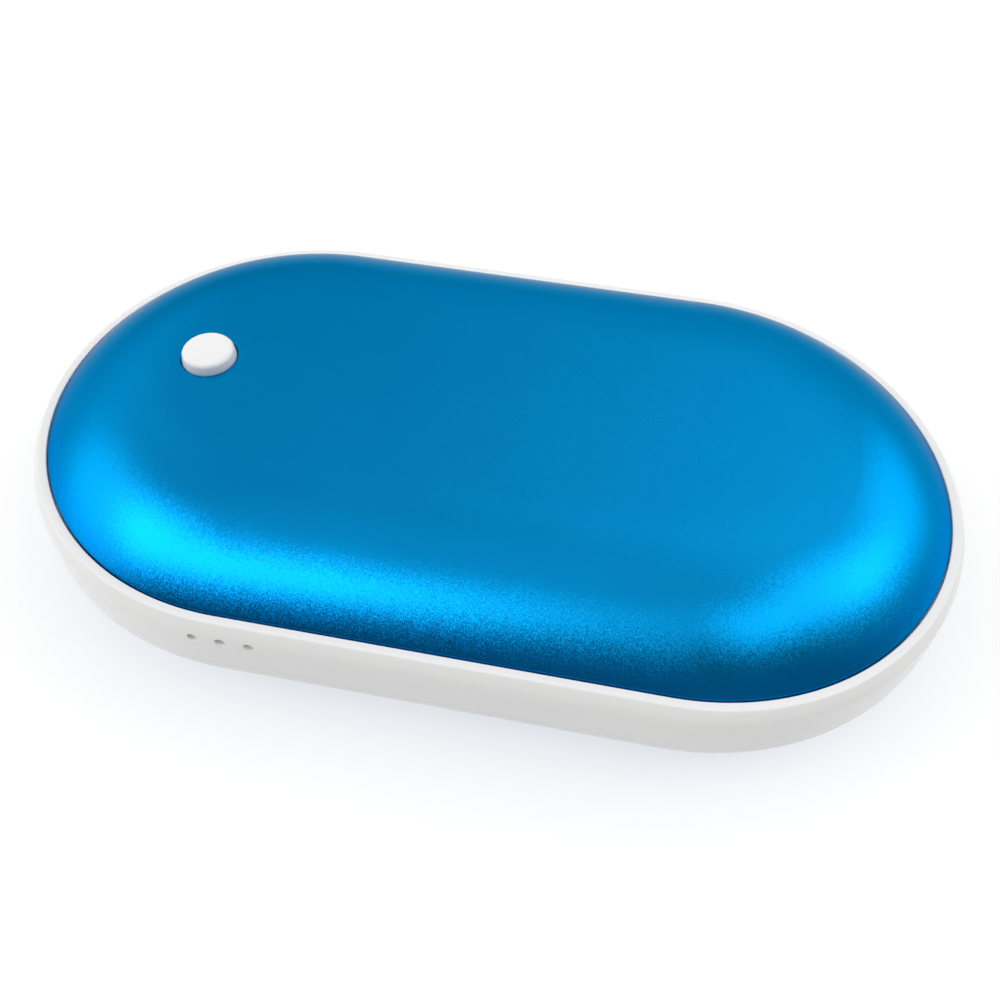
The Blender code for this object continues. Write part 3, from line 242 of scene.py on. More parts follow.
section = edge_section(BLEND_RING)
steepest = section[ARC_POINTS - 1][0]
print("shell section:", len(section), "points, steepest edge at", round(steepest / MM, 2), "mm")

# %% [markdown]
# ### The lower shell
#
# The photograph doesn't show the lower shell. It is taken to be the same pressing turned over,
# without the button's hole. Its flat middle, on which the warmer rests, is one face on each
# side.

# %% Make the lower shell


def make_lower_shell():
    """The section carried round the stadium and mirrored in z, with its two flats closed."""
    section = edge_section(LAND)
    points = carry_round(section)
    points[..., 2] = BAND_BOTTOM - points[..., 2]
    columns = len(walk_x)
    last = (len(section) - 1) * columns
    caps = [range(columns)[::-1], range(last, last + columns)]
    return make_piece("lower_shell_skin", points, grid_faces(len(section), columns), caps)


lower_shell = smooth(make_lower_shell())
print("lower shell faces:", len(lower_shell.data.polygons))

# %% [markdown]
# ### The upper shell and its button hole
#
# The upper shell has a round hole that the button passes through. The grid starts as a circle
# on the hole's rim and is blended, on straight lines from the hole's middle, into the stadium
# 17 mm from the spine. From there it goes out in plain rings. Only x and y are blended: the
# height always comes from the pillow's formula, so the hole doesn't dent the surface.

# %% Make the upper shell
BUTTON_X = float(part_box("switch_base")[0].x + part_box("switch_base")[1].x) / 2
HOLE_RADIUS, HOLE_ROUND = 3.15 * MM, 0.18 * MM
OUTER_SPREAD = np.linspace(0, 1, 25)[:-1] ** 1.35  # closer together near the hole
INNER_SPREAD = np.linspace(1, 0, 13)[1:]
RIM_POINTS = 6


def hole_to_ring(shares, sheet):
    """Points between the hole's rounded rim and the blend ring: rim + share (ring - rim), at the
    pillow's height. The rim's point for each ring point lies towards it from the hole's middle."""
    outer = ring(BLEND_RING, 0.0)[:, :2]
    middle = np.array((BUTTON_X, 0.0))
    towards = outer - middle
    towards /= np.linalg.norm(towards, axis=1, keepdims=True)
    rim = middle + (HOLE_RADIUS + (HOLE_ROUND if sheet == 0 else 0)) * towards
    share = np.asarray(shares)[:, None, None]
    plan = rim + share * (outer - rim)
    height = pillow(spine_distance(plan[..., 0], plan[..., 1]), sheet)
    return np.concatenate([plan, height[..., None]], axis=-1), towards


def make_upper_shell():
    """Rim rounding, blended top, rings to the edge, lip, and the inner face back to the hole,
    all as one closed grid."""
    top, towards = hole_to_ring(OUTER_SPREAD, 0.0)
    turn = np.linspace(0, np.pi / 2, RIM_POINTS)[:-1][:, None]
    rim_radius = HOLE_RADIUS + HOLE_ROUND * (1 - np.cos(turn))
    rim_xy = np.array((BUTTON_X, 0.0)) + rim_radius[..., None] * towards
    rim_z = top[0, :, 2] - HOLE_ROUND * (1 - np.sin(turn))
    rim = np.concatenate([rim_xy, rim_z[..., None]], axis=-1)
    under, _ = hole_to_ring(INNER_SPREAD, SHEET)
    points = np.concatenate([rim, top, carry_round(edge_section(BLEND_RING)), under])
    points[..., 2] += BAND_TOP
    return make_piece("upper_shell_skin", points, grid_faces(*points.shape[:2], wrap_rows=True))


upper_shell = smooth(make_upper_shell())
print("upper shell faces:", len(upper_shell.data.polygons))

# %% [markdown]
# ## The white band
#
# The band is a ring moulded in white plastic. Outside it is nearly upright and rolls in at its
# two edges; inside each edge a groove takes a shell's lip. Its section is a closed loop that
# is carried round the stadium. The sockets' pockets and the light holes are then cut out with
# Booleans, because a hole's outline on the bulged wall is a curve that no grid line follows.
# Each cutter is flared like a trumpet where it leaves the wall, and the flare follows the
# wall, so the cut itself leaves a rounded mouth.

# %% Section of the band
BODY, DROP, POWER = 30 * MM, 0.87 * MM, 5.5
BAND_MIDDLE, BAND_HALF = 10.6 * MM, 4.2 * MM
GROOVE, GROOVE_DEPTH, FLANGE = 28.25 * MM, 0.8 * MM, 26.6 * MM
LEDGE_ROUND, GROOVE_ROUND = 0.16 * MM, 0.10 * MM
WALL_POINTS, LEDGE_POINTS, LIP_POINTS = 41, 6, 5
WALL_SHARE = 0.99  # how far up and down the wall goes before the rounding starts


def wall_radius(z):
    """How far out the band's wall lies at a height: BODY - DROP |u|^POWER, where u goes from -1
    at the lower edge to 1 at the upper one."""
    return BODY - DROP * np.abs((z - BAND_MIDDLE) / BAND_HALF) ** POWER


def band_section():
    """The closed loop of the section: the bulged wall, a small rounding on to the ledge, the
    groove and the flange, then the same below."""
    share = WALL_SHARE * np.sin(np.linspace(-1, 1, WALL_POINTS) * np.pi / 2)
    z = BAND_MIDDLE + BAND_HALF * share
    wall = np.stack([wall_radius(z), z - BAND_MIDDLE], axis=-1)
    lean = np.arctan2(DROP * POWER * share[-1] ** (POWER - 1), BAND_HALF)
    a = np.linspace(lean, np.pi / 2, LEDGE_POINTS)[1:]
    centre = wall[-1, 0] - LEDGE_ROUND * np.cos(lean)
    ledge = np.column_stack([
        centre + LEDGE_ROUND * np.cos(a),
        BAND_HALF - LEDGE_ROUND * (1 - np.sin(a)),
    ])
    b = np.linspace(np.pi / 2, np.pi, LIP_POINTS)
    lip = np.column_stack([
        GROOVE + GROOVE_ROUND * (1 + np.cos(b)),
        BAND_HALF - GROOVE_ROUND * (1 - np.sin(b)),
    ])
    shelf = BAND_HALF - GROOVE_DEPTH
    top = np.concatenate([ledge, lip, [(GROOVE, shelf), (FLANGE, shelf)]])
    low = top[::-1] * (1, -1)
    return np.concatenate([wall, top, low]) + (0, BAND_MIDDLE)


band_loop = band_section()
band_points = carry_round(band_loop)
band = make_piece("band_skin", band_points, grid_faces(*band_points.shape[:2], wrap_rows=True))
print("band faces before cutting:", len(band.data.polygons))

# %% Cutters for the sockets
MOUTH_FLARE, MOUTH_ANGLES = 0.25 * MM, (-20, 8, 25, 45, 65, 90)
MOUTH_OUT = 1.5 * MM  # how far the first loop stands outside the wall


def rounded_outline(width, height, corner, steps=8):
    """A rectangle with round corners in the (y, z) plane, as points and outward unit
    directions: each point is its corner's centre plus corner times its direction."""
    angle = np.concatenate([np.linspace(q, q + np.pi / 2, steps) for q in np.pi / 2 * np.arange(4)])
    side = np.repeat([(1, 1), (-1, 1), (-1, -1), (1, -1)], steps, axis=0)
    centre = side * (width / 2 - corner, height / 2 - corner)
    direction = np.stack([np.cos(angle), np.sin(angle)], axis=-1)
    return centre + corner * direction, direction


def turn_about_spine_end(points, angle):
    """Turns points about the upright line through the left end of the spine."""
    c, s = np.cos(angle), np.sin(angle)
    x, y = points[..., 0] + SPINE, points[..., 1]
    return np.stack([c * x - s * y - SPINE, s * x + c * y, points[..., 2]], axis=-1)


def mouth_cutter(name, outline, directions, inner_x, angle=0.0):
    """A tube along X whose outer end flares on to the left round end of the band. At flare angle
    a the outline has grown by flare (1 - sin a) and lies flare (1 - cos a) under the wall. The
    first loop stands free outside the wall."""
    loops = []
    for a in np.radians(MOUTH_ANGLES):
        grown = outline + MOUTH_FLARE * (1 - np.sin(a)) * directions
        y, z = grown[:, 0], grown[:, 1] + BAND_MIDDLE
        wall = -SPINE - np.sqrt(wall_radius(z) ** 2 - y**2)
        depth = MOUTH_FLARE * (1 - np.cos(a)) if a > 0 else -MOUTH_OUT
        loops.append(np.column_stack([wall + depth, y, z]))
    inner = np.full(len(outline), inner_x)
    loops.append(np.column_stack([inner, outline[:, 0], outline[:, 1] + BAND_MIDDLE]))
    points = turn_about_spine_end(np.stack(loops), -angle)
    count, rows = len(outline), len(loops)
    caps = [range(count)[::-1], range((rows - 1) * count, rows * count)]
    return make_piece(name, points, grid_faces(rows, count), caps)


print("flare of the sockets' mouths:", MOUTH_FLARE / MM, "mm")

# %% Cutters for the lights
LIGHT_HEIGHT, LIGHT_RADIUS, LIGHT_FLARE = 12.8 * MM, 0.5 * MM, 0.14 * MM
LIGHT_ANGLES, LIGHT_STEPS = (8, 30, 60, 90), 48
LIGHT_OUT = 1.3  # how many flares wider the loop outside the wall is than the hole


def light_cutter(x):
    """A round tube along Y that flares on the front wall: radius + flare (1 - sin a) at
    flare (1 - cos a) under the wall. It starts outside the wall and ends inside the flange."""
    a, steps = np.radians(LIGHT_ANGLES), LIGHT_STEPS
    flared = LIGHT_RADIUS + LIGHT_FLARE * (1 - np.sin(a))
    grown = np.concatenate([[LIGHT_RADIUS + LIGHT_OUT * LIGHT_FLARE], flared, [LIGHT_RADIUS]])
    wall = -float(wall_radius(LIGHT_HEIGHT))
    y = np.concatenate([[wall - MM], wall + LIGHT_FLARE * (1 - np.cos(a)), [-FLANGE + MM]])
    turn = np.linspace(0, 2 * np.pi, steps, endpoint=False)
    points = np.stack([
        x + grown[:, None] * np.cos(turn),
        np.broadcast_to(y[:, None], (len(y), steps)),
        LIGHT_HEIGHT + grown[:, None] * np.sin(turn),
    ], axis=-1)
    caps = [range(steps)[::-1], range((len(y) - 1) * steps, len(y) * steps)]
    return make_piece("light_cutter", points, grid_faces(len(y), steps), caps)


print("light holes:", 2 * LIGHT_RADIUS / MM, "mm wide")

# %% Cut the band


def carve(piece, cutters, operation="DIFFERENCE"):
    """Cuts or joins shapes with exact Booleans, keeps the result and removes the cutters."""
    for cutter in cutters:
        modifier = piece.modifiers.new(cutter.name, "BOOLEAN")
        modifier.object, modifier.operation, modifier.solver = cutter, operation, "EXACT"
    bpy.context.view_layer.update()
    evaluated = piece.evaluated_get(bpy.context.evaluated_depsgraph_get())
    result = bpy.data.meshes.new_from_object(evaluated)
    piece.modifiers.clear()
    piece.data = result
    for cutter in cutters:
        bpy.data.objects.remove(cutter)
    return piece


FIT = 0.15 * MM  # the room round a socket and over the floor
usb_low, usb_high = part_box("usb_output_shell")
USB_SIZE = (usb_high.y - usb_low.y, usb_high.z - usb_low.z)
MICRO_SIZE = (7.5 * MM, 2.6 * MM)
MICRO_ANGLE = 0.4934  # radians round the end of the spine
MICRO_FRONT = -SPINE - 29.16 * MM
MICRO_DEPTH, MICRO_POCKET = 5.6 * MM, 5.9 * MM
USB_MOUTH_CORNER, MICRO_MOUTH_CORNER = 1.0 * MM, 0.4 * MM
usb_mouth = rounded_outline(*(side + 2 * FIT for side in USB_SIZE), USB_MOUTH_CORNER)
micro_mouth = rounded_outline(*(side + 2 * FIT for side in MICRO_SIZE), MICRO_MOUTH_CORNER)
cutters = [
    mouth_cutter("usb_cutter", *usb_mouth, usb_high.x + FIT),
    mouth_cutter("micro_cutter", *micro_mouth, MICRO_FRONT + MICRO_POCKET, MICRO_ANGLE),
]
light_boxes = [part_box(f"status_light_{number}") for number in (1, 2, 3)]
cutters += [light_cutter((low.x + high.x) / 2) for low, high in light_boxes]
carve(band, cutters)
print("band faces with mouths and light holes:", len(band.data.polygons))

# %% [markdown]
# ### What the band carries inside
#
# Behind the wall the moulding goes on as a floor under the board, a box round the cell and a
# post for each of the board's screws. They are plain plates and tubes, so each is an outline
# raised to a height, and one Boolean cuts the cell's window through the floor and the box.

# %% Add the floor, the cell's box and the screw posts


def raised(name, outline, low, high):
    """An outline of (x, y) points, counterclockwise, raised from one height to another."""
    outline = np.asarray(outline, float)
    count = len(outline)
    points = np.stack([np.column_stack([outline, np.full(count, z)]) for z in (low, high)])
    caps = [range(count)[::-1], range(count, 2 * count)]
    return make_piece(name, points, grid_faces(2, count), caps)


def plate_outline(low_x, high_x, low_y, high_y):
    """The four corners of a plate, counterclockwise."""
    return [(low_x, low_y), (high_x, low_y), (high_x, high_y), (low_x, high_y)]


def circle_outline(x, y, radius, steps=32):
    """A round outline about (x, y)."""
    turn = np.linspace(0, 2 * np.pi, steps, endpoint=False)
    return np.stack([x + radius * np.cos(turn), y + radius * np.sin(turn)], axis=-1)


cell_low, cell_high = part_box("battery_cell")
board_low, board_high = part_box("control_board")
BOX_WALL, CELL_GAP, GUARD_SPACE = 1.0 * MM, 0.3 * MM, 2.6 * MM
FLOOR_EDGE, FLOOR_THICK, BOARD_OVERLAP = 27.3 * MM, 1.2 * MM, 5.0 * MM
POST_RADIUS, PILOT_RADIUS, SHELL_ROOM = 2.6 * MM, 1.05 * MM, 0.05 * MM
window = (
    cell_low.x - GUARD_SPACE, cell_high.x + CELL_GAP, cell_low.y - CELL_GAP, cell_high.y + CELL_GAP
)
floor_top = board_low.z - FIT
floor_start = board_high.x - BOARD_OVERLAP
bend = np.linspace(-np.pi / 2, np.pi / 2, END_POINTS)
floor_outline = [(SPINE + FLOOR_EDGE * np.cos(t), FLOOR_EDGE * np.sin(t)) for t in bend]
floor_outline += [(floor_start, FLOOR_EDGE), (floor_start, -FLOOR_EDGE)]
box_outline = plate_outline(
    window[0] - BOX_WALL, window[1] + BOX_WALL, window[2] - BOX_WALL, window[3] + BOX_WALL
)
inside_low = BAND_BOTTOM + GROOVE_DEPTH + SHELL_ROOM
inside_high = BAND_TOP - GROOVE_DEPTH - SHELL_ROOM
inner = raised("band_floor", floor_outline, floor_top - FLOOR_THICK, floor_top)
carve(inner, [raised("cell_box", box_outline, inside_low, inside_high)], "UNION")
carve(inner, [raised("cell_window", plate_outline(*window), BAND_BOTTOM, BAND_TOP)])
for number in (1, 2, 3):
    low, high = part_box(f"board_screw_{number}")
    x, y = (low.x + high.x) / 2, (low.y + high.y) / 2
    post = raised("post", circle_outline(x, y, POST_RADIUS), inside_low, floor_top)
    pilot = raised("pilot", circle_outline(x, y, PILOT_RADIUS), BAND_BOTTOM, BAND_MIDDLE)
    carve(post, [pilot])
    carve(inner, [post], "UNION")


def join_meshes(piece, other):
    """Puts another object's mesh into this one, as a second closed body, and removes it."""
    with bpy.context.temp_override(active_object=piece, selected_editable_objects=[piece, other]):
        bpy.ops.object.join()
    return piece


smooth(join_meshes(band, inner), sharp_over=30)
print("whole band faces:", len(band.data.polygons))

# %% [markdown]
# ## The seals
#
# A thin bead of soft glue lies in each groove, under the shell's lip. It is a closed section
# carried round the stadium: a low rectangle whose corners are rounded, as a squeezed bead's are.

# %% Make the two seals
SEAL_CORNER = 0.09 * MM


def make_seal(name, node):
    """A rounded rectangle between the node's lowest and highest z, as wide as the shell's sheet."""
    low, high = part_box(node)
    outline, _ = rounded_outline(SHEET, high.z - low.z, SEAL_CORNER, steps=4)
    section = outline + (SHELL_EDGE - SHEET / 2, (low.z + high.z) / 2)
    points = carry_round(section)
    seal = make_piece(name, points, grid_faces(*points.shape[:2], wrap_rows=True))
    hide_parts(node)
    return smooth(seal)


seals = [
    make_seal("upper_seal_bead", "top_shell_seal"),
    make_seal("lower_seal_bead", "bottom_shell_seal"),
]
print("seal faces:", [len(seal.data.polygons) for seal in seals])

# %% [markdown]
# ## The power button
#
# The button is round and moulded in one piece: a slightly crowned face with a rounded edge,
# sides with a little draft so that it leaves its mould, a flange that keeps it from falling
# out through the hole, and a stem that presses the switch. Its surface is a section of radii
# and heights carried round its own axis.

# %% Make the button


def turned_piece(name, section, x, steps=96):
    """A section of (radius, height) turned about the upright line through (x, 0). Its first and
    last points close with a face each."""
    section = np.asarray(section, float)
    turn = np.linspace(0, 2 * np.pi, steps, endpoint=False)
    points = np.stack([
        x + section[:, :1] * np.cos(turn),
        section[:, :1] * np.sin(turn),
        np.broadcast_to(section[:, 1:], (len(section), steps)),
    ], axis=-1)
    last = (len(section) - 1) * steps
    caps = [range(steps)[::-1], range(last, last + steps)]
    return make_piece(name, points, grid_faces(len(section), steps), caps)


button_low, button_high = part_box("power_button")
BUTTON_RADIUS, BUTTON_DRAFT, BUTTON_ROUND, BUTTON_CROWN = 3.0 * MM, 0.10 * MM, 0.55 * MM, 0.12 * MM
FLANGE_RADIUS, FLANGE_TOP, FLANGE_THICK, STEM_RADIUS = 4.1 * MM, 20.221 * MM, 0.8 * MM, 1.5 * MM
SHELL_TOP = BAND_TOP + PILLOW
EASE, STEM_EASE = 0.1 * MM, 0.2 * MM  # the small slants on the flange's edges and the stem's foot
OVER_SOLID = 0.001 * MM
face_radius = BUTTON_RADIUS - BUTTON_DRAFT
face_height = button_high.z + OVER_SOLID
lean = np.linspace(0, np.pi / 2, 12)
edge = np.stack([
    face_radius - BUTTON_ROUND * (1 - np.cos(lean)),
    face_height - BUTTON_CROWN - BUTTON_ROUND * (1 - np.sin(lean)),
], axis=-1)
share = np.linspace(0.92, 0.04, 12)
crown = np.column_stack([
    (face_radius - BUTTON_ROUND) * share,
    face_height - BUTTON_CROWN * share**2,
])
button_section = [
    (STEM_RADIUS - STEM_EASE, button_low.z),
    (STEM_RADIUS, button_low.z + STEM_EASE),
    (STEM_RADIUS, FLANGE_TOP - FLANGE_THICK),
    (FLANGE_RADIUS - EASE, FLANGE_TOP - FLANGE_THICK),
    (FLANGE_RADIUS, FLANGE_TOP - FLANGE_THICK + EASE),
    (FLANGE_RADIUS, FLANGE_TOP - EASE),
    (FLANGE_RADIUS - EASE, FLANGE_TOP),
    (BUTTON_RADIUS, FLANGE_TOP),
    (BUTTON_RADIUS, SHELL_TOP),
    *edge,
    *crown,
]
button = smooth(turned_piece("button_cap", button_section, BUTTON_X))
print("button faces:", len(button.data.polygons), "top at", round(face_height / MM, 3), "mm")

# %% [markdown]
# ## The two charging sockets
#
# Each socket is a tube folded from thin steel. The output socket is a flat box with round
# folds and two leaf springs in its upper and lower faces; the charging socket is smaller and
# has two slanted lower corners. A tube is two loops, outside and inside, joined at the mouth
# by a small rolled edge, and the leaf springs are freed by U-shaped slots cut with Booleans.

# %% Fold a tube
USB_SHEET, USB_CORNER = 0.3 * MM, 0.9 * MM
MICRO_SHEET, MICRO_SLANT = 0.25 * MM, 0.8 * MM
SPRING_START, SPRING_INSET = 2.6 * MM, 3.9 * MM
SPRING_REACH, SPRING_HALF, SPRING_SLOT = 4.2 * MM, 0.9 * MM, 0.4 * MM


def folded_tube(name, outline, directions, sheet, front_x, back_x, angle=0.0):
    """Loops from the back's outside to the rounded mouth and back inside. A loop is the outline
    moved inwards by its depth: outline - depth * direction."""
    rim = 0.4 * sheet
    eased, turned, started = rim * 0.3, front_x + rim * 0.3, front_x + rim
    depths = [0, 0, eased, rim, sheet - rim, sheet - eased, sheet, sheet]
    places = [back_x, started, turned, front_x, front_x, turned, started, back_x]
    loops = []
    for depth, x in zip(depths, places):
        y, z = (outline - depth * directions).T
        loops.append(np.column_stack([np.full(len(y), x), y, z + BAND_MIDDLE]))
    points = turn_about_spine_end(np.stack(loops), -angle)
    return make_piece(name, points, grid_faces(*points.shape[:2], wrap_rows=True))


print("sheet of the tubes:", USB_SHEET / MM, MICRO_SHEET / MM, "mm")

# %% Outline of the charging socket


def slanted_outline(width, height, slant, corner=0.18 * MM, steps=4):
    """The charging socket's outline: a box whose two lower corners are cut by slants, with every
    corner rounded. Each corner gives its arc's points and their outward directions."""
    y, z = width / 2, height / 2
    corners = np.array([
        (y, z), (-y, z), (-y, slant - z), (slant - y, -z), (y - slant, -z), (y, slant - z),
    ])
    before, after = np.roll(corners, 1, axis=0), np.roll(corners, -1, axis=0)
    arrive = (corners - before) / np.linalg.norm(corners - before, axis=1, keepdims=True)
    leave = (after - corners) / np.linalg.norm(after - corners, axis=1, keepdims=True)
    start = np.arctan2(-arrive[:, 0], arrive[:, 1])
    cross = arrive[:, 0] * leave[:, 1] - arrive[:, 1] * leave[:, 0]
    sweep = np.arctan2(cross, (arrive * leave).sum(1))
    outwards = np.stack([arrive[:, 1], -arrive[:, 0]], axis=-1)
    centre = corners - corner * np.tan(sweep / 2)[:, None] * arrive - corner * outwards
    angle = start[:, None] + sweep[:, None] * np.linspace(0, 1, steps)
    directions = np.stack([np.cos(angle), np.sin(angle)], axis=-1)
    return (centre[:, None] + corner * directions).reshape(-1, 2), directions.reshape(-1, 2)


micro_outline = slanted_outline(*MICRO_SIZE, MICRO_SLANT)
print("points round the charging socket:", len(micro_outline[0]))

# %% Make the socket tubes
usb_outline = rounded_outline(*USB_SIZE, USB_CORNER)
usb_tube = folded_tube("usb_tube", *usb_outline, USB_SHEET, usb_low.x, usb_high.x)
micro_back = MICRO_FRONT + MICRO_DEPTH
micro_tube = folded_tube(
    "micro_tube", *micro_outline, MICRO_SHEET, MICRO_FRONT, micro_back, MICRO_ANGLE
)
reach, half = SPRING_REACH, SPRING_HALF
slot_reach, slot_half = reach + SPRING_SLOT, half + SPRING_SLOT
slot_shape = np.array([
    (0, -slot_half), (slot_reach, -slot_half), (slot_reach, slot_half), (0, slot_half),
    (0, half), (reach, half), (reach, -half), (0, -half),
])
for side in (-1, 1):
    start = (usb_low.x + SPRING_START, side * (USB_SIZE[0] / 2 - SPRING_INSET))
    slot = raised("spring_slot", slot_shape + start, usb_low.z - MM, usb_high.z + MM)
    carve(usb_tube, [slot])
smooth(usb_tube)
smooth(micro_tube)
print("socket tube faces:", len(usb_tube.data.polygons), len(micro_tube.data.polygons))

# %% [markdown]
# ### The snap dome under the button
#
# The click comes from a disc of spring steel that is pressed into a shallow dome under the
# button's plunger. A real one flattens when the button goes down. The solid of the CAD model is
# replaced: the new disc is a profile turned about the switch's axis, and it rides on the housing.

# %% Make the snap dome
dome_low, dome_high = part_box("switch_dome")
DOME_SHEET = 0.12 * MM
dome_foot = ((dome_low.x + dome_high.x) / 2, (dome_low.y + dome_high.y) / 2, dome_low.z)


def turned_sheet(name, foot, radii, heights, sheet, around=48):
    """Rings of foot + (r cos a, r sin a, height): out along the under side, and back along the
    upper side, which is one sheet higher. A flat face closes the middle of each side."""
    angle = np.linspace(0, 2 * np.pi, around, endpoint=False)
    radius = np.concatenate([radii, radii[::-1]])[:, None]
    height = np.concatenate([heights, heights[::-1] + sheet])[:, None]
    grids = np.broadcast_arrays(radius * np.cos(angle), radius * np.sin(angle), height)
    points = np.stack(grids, axis=-1) + foot
    last = (len(radius) - 1) * around
    caps = [range(around)[::-1], range(last, last + around)]
    return make_piece(name, points, grid_faces(len(radius), around), caps)


shares = np.linspace(0.08, 1, 12)
dome_rim, dome_rise = (dome_high.x - dome_low.x) / 2, dome_high.z - dome_low.z - DOME_SHEET
profile = dome_rise * (1 - shares**2)
snap_dome = smooth(turned_sheet("snap_dome", dome_foot, dome_rim * shares, profile, DOME_SHEET))
print("snap dome:", round(2 * dome_rim / MM, 2), "mm wide,", round(dome_rise / MM, 2), "mm high")

# %% [markdown]
# ## Anodised, sand-blasted aluminium
#
# The shells were blasted with fine sand, anodised and dyed blue. The dye colours what the
# metal mirrors, and the blasting leaves tiny dents that lean every way, so the gloss spreads
# wide and sparkles where it fades. The colour is the metal's own tint. The dents could be a
# noise read as height, but that looks like leather. Here the surface is cut into cells less
# than a tenth of a millimetre wide, each a small flat mirror with its own tilt and its own
# roughness, and the dye is a little deeper in one place than in another. In the photograph the
# dark steep edge, which lies in shade, is a purer blue than the top, mostly the camera's doing
# in that shade. That shade tone is painted into the colour: a painted shade tint that goes
# about half the way there, by height alone.

# %% Make materials and nodes


def shader_input(made, name):
    """The input of that name on a material's Principled shader."""
    return made.node_tree.nodes["Principled BSDF"].inputs[name]


def finish(name, colour, roughness, metallic=0.0, **sockets):
    """A material with one Principled shader, whose numbers go straight to its own sockets.
    Patterns are wired to it afterwards."""
    made = bpy.data.materials.new(name)
    made.use_nodes = True
    shader_input(made, "Base Color").default_value = (*colour, 1)
    shader_input(made, "Roughness").default_value = roughness
    shader_input(made, "Metallic").default_value = metallic
    for socket, value in sockets.items():
        shader_input(made, socket.replace("_", " ")).default_value = value
    made.diffuse_color = (*colour, 1)
    return made


def add_node(made, kind, **inputs):
    """A new node in a material or world, with values for its inputs by name."""
    node = made.node_tree.nodes.new(kind)
    for socket, value in inputs.items():
        node.inputs[socket.replace("_", " ")].default_value = value
    return node


def wire_up(made, out, into):
    """Joins an output socket to an input socket."""
    made.node_tree.links.new(out, into)


def work_out(made, kind, operation, *values):
    """A node that calculates with values in its inputs' order: sockets are joined, and the
    others are constants."""
    node = add_node(made, kind)
    node.operation = operation
    for into, value in zip(node.inputs, values):
        if isinstance(value, bpy.types.NodeSocket):
            wire_up(made, value, into)
        else:
            into.default_value = value
    return node


def smooth_step(made, value, start, end, at_start, at_end):
    """Goes from one level to another while a value goes from start to end, on a smooth step."""
    step = add_node(
        made, "ShaderNodeMapRange", From_Min=start, From_Max=end, To_Min=at_start, To_Max=at_end
    )
    step.interpolation_type = "SMOOTHSTEP"
    wire_up(made, value, step.inputs["Value"])
    return step.outputs["Result"]


print("material and node helpers are ready")

# %% Patterns for height, gloss and colour
NOISE_LOW, NOISE_HIGH = 0.3, 0.7  # nearly all of a noise lies between these


def noise(made, grain, detail=2.0, roughness=0.5, stretch=(1, 1, 1)):
    """Noise on Object coordinates whose blobs are about grain metres across. It returns the
    value socket."""
    place = add_node(made, "ShaderNodeTexCoord")
    spread = add_node(made, "ShaderNodeMapping", Scale=stretch)
    texture = add_node(
        made, "ShaderNodeTexNoise", Scale=1 / grain, Detail=detail, Roughness=roughness
    )
    wire_up(made, place.outputs["Object"], spread.inputs["Vector"])
    wire_up(made, spread.outputs["Vector"], texture.inputs["Vector"])
    return texture.outputs["Fac"]


def bumps(made, *layers):
    """Chains Bump nodes into the shader's normal. Each layer is a height socket and the height
    in metres that a value of 1 stands for."""
    normal = None
    for height, rise in layers:
        bump = add_node(made, "ShaderNodeBump", Strength=1.0, Distance=rise)
        wire_up(made, height, bump.inputs["Height"])
        if normal:
            wire_up(made, normal, bump.inputs["Normal"])
        normal = bump.outputs["Normal"]
    wire_up(made, normal, shader_input(made, "Normal"))


def vary(made, value, socket, low, high):
    """Lets a pattern move one of the shader's numbers between two limits."""
    scale = add_node(
        made, "ShaderNodeMapRange", From_Min=NOISE_LOW, From_Max=NOISE_HIGH, To_Min=low, To_Max=high
    )
    wire_up(made, value, scale.inputs["Value"])
    wire_up(made, scale.outputs["Result"], shader_input(made, socket))


def tint(made, value, dark, light):
    """Lets a pattern move the base colour between two colours."""
    ramp = add_node(made, "ShaderNodeValToRGB")
    first, second = ramp.color_ramp.elements
    first.position, second.position = NOISE_LOW, NOISE_HIGH
    first.color, second.color = (*dark, 1), (*light, 1)
    wire_up(made, value, ramp.inputs["Fac"])
    wire_up(made, ramp.outputs["Color"], shader_input(made, "Base Color"))


print("noises are read from", NOISE_LOW, "to", NOISE_HIGH)

# %% Facets and the painted shade tint of the steep edge


def facets(made, grain, tilt):
    """Tiny flat facets about grain metres across, each tilted its own way: the surface's normal
    plus tilt times (random colour of the texture's cell - 1/2), made one long again."""
    place = add_node(made, "ShaderNodeTexCoord")
    cells = add_node(made, "ShaderNodeTexVoronoi", Scale=1 / grain)
    wire_up(made, place.outputs["Object"], cells.inputs["Vector"])
    normal = add_node(made, "ShaderNodeNewGeometry").outputs["Normal"]
    kind = "ShaderNodeVectorMath"
    centred = work_out(made, kind, "SUBTRACT", cells.outputs["Color"], (0.5, 0.5, 0.5))
    tilted = work_out(made, kind, "MULTIPLY_ADD", centred.outputs["Vector"], [tilt] * 3, normal)
    unit = work_out(made, kind, "NORMALIZE", tilted.outputs["Vector"])
    wire_up(made, unit.outputs["Vector"], shader_input(made, "Normal"))
    return cells.outputs["Color"]


def paint_edge_shade_tint(made, colour, low, high):
    """Paints a shade tint: turns the base colour to another one on a shell's steep edge, which
    lies in shade, fully up to the height low above or below the band's middle, not at all from
    high on, a smooth step between them."""
    base = shader_input(made, "Base Color")
    parts = add_node(made, "ShaderNodeSeparateXYZ")
    wire_up(made, add_node(made, "ShaderNodeTexCoord").outputs["Object"], parts.inputs[0])
    above = work_out(made, "ShaderNodeMath", "SUBTRACT", parts.outputs["Z"], BAND_MIDDLE)
    height = work_out(made, "ShaderNodeMath", "ABSOLUTE", above.outputs[0])
    blend = add_node(made, "ShaderNodeMix")
    blend.data_type = "RGBA"
    # a Mix node keeps one set of sockets for each kind of value, and the colours are 6 and 7
    share_input, first_colour, second_colour = (blend.inputs[place] for place in (0, 6, 7))
    wire_up(made, smooth_step(made, height.outputs[0], low, high, 1.0, 0.0), share_input)
    wire_up(made, base.links[0].from_socket, first_colour)
    second_colour.default_value = (*colour, 1)
    wire_up(made, blend.outputs[2], base)


print("facet and edge helpers are ready")

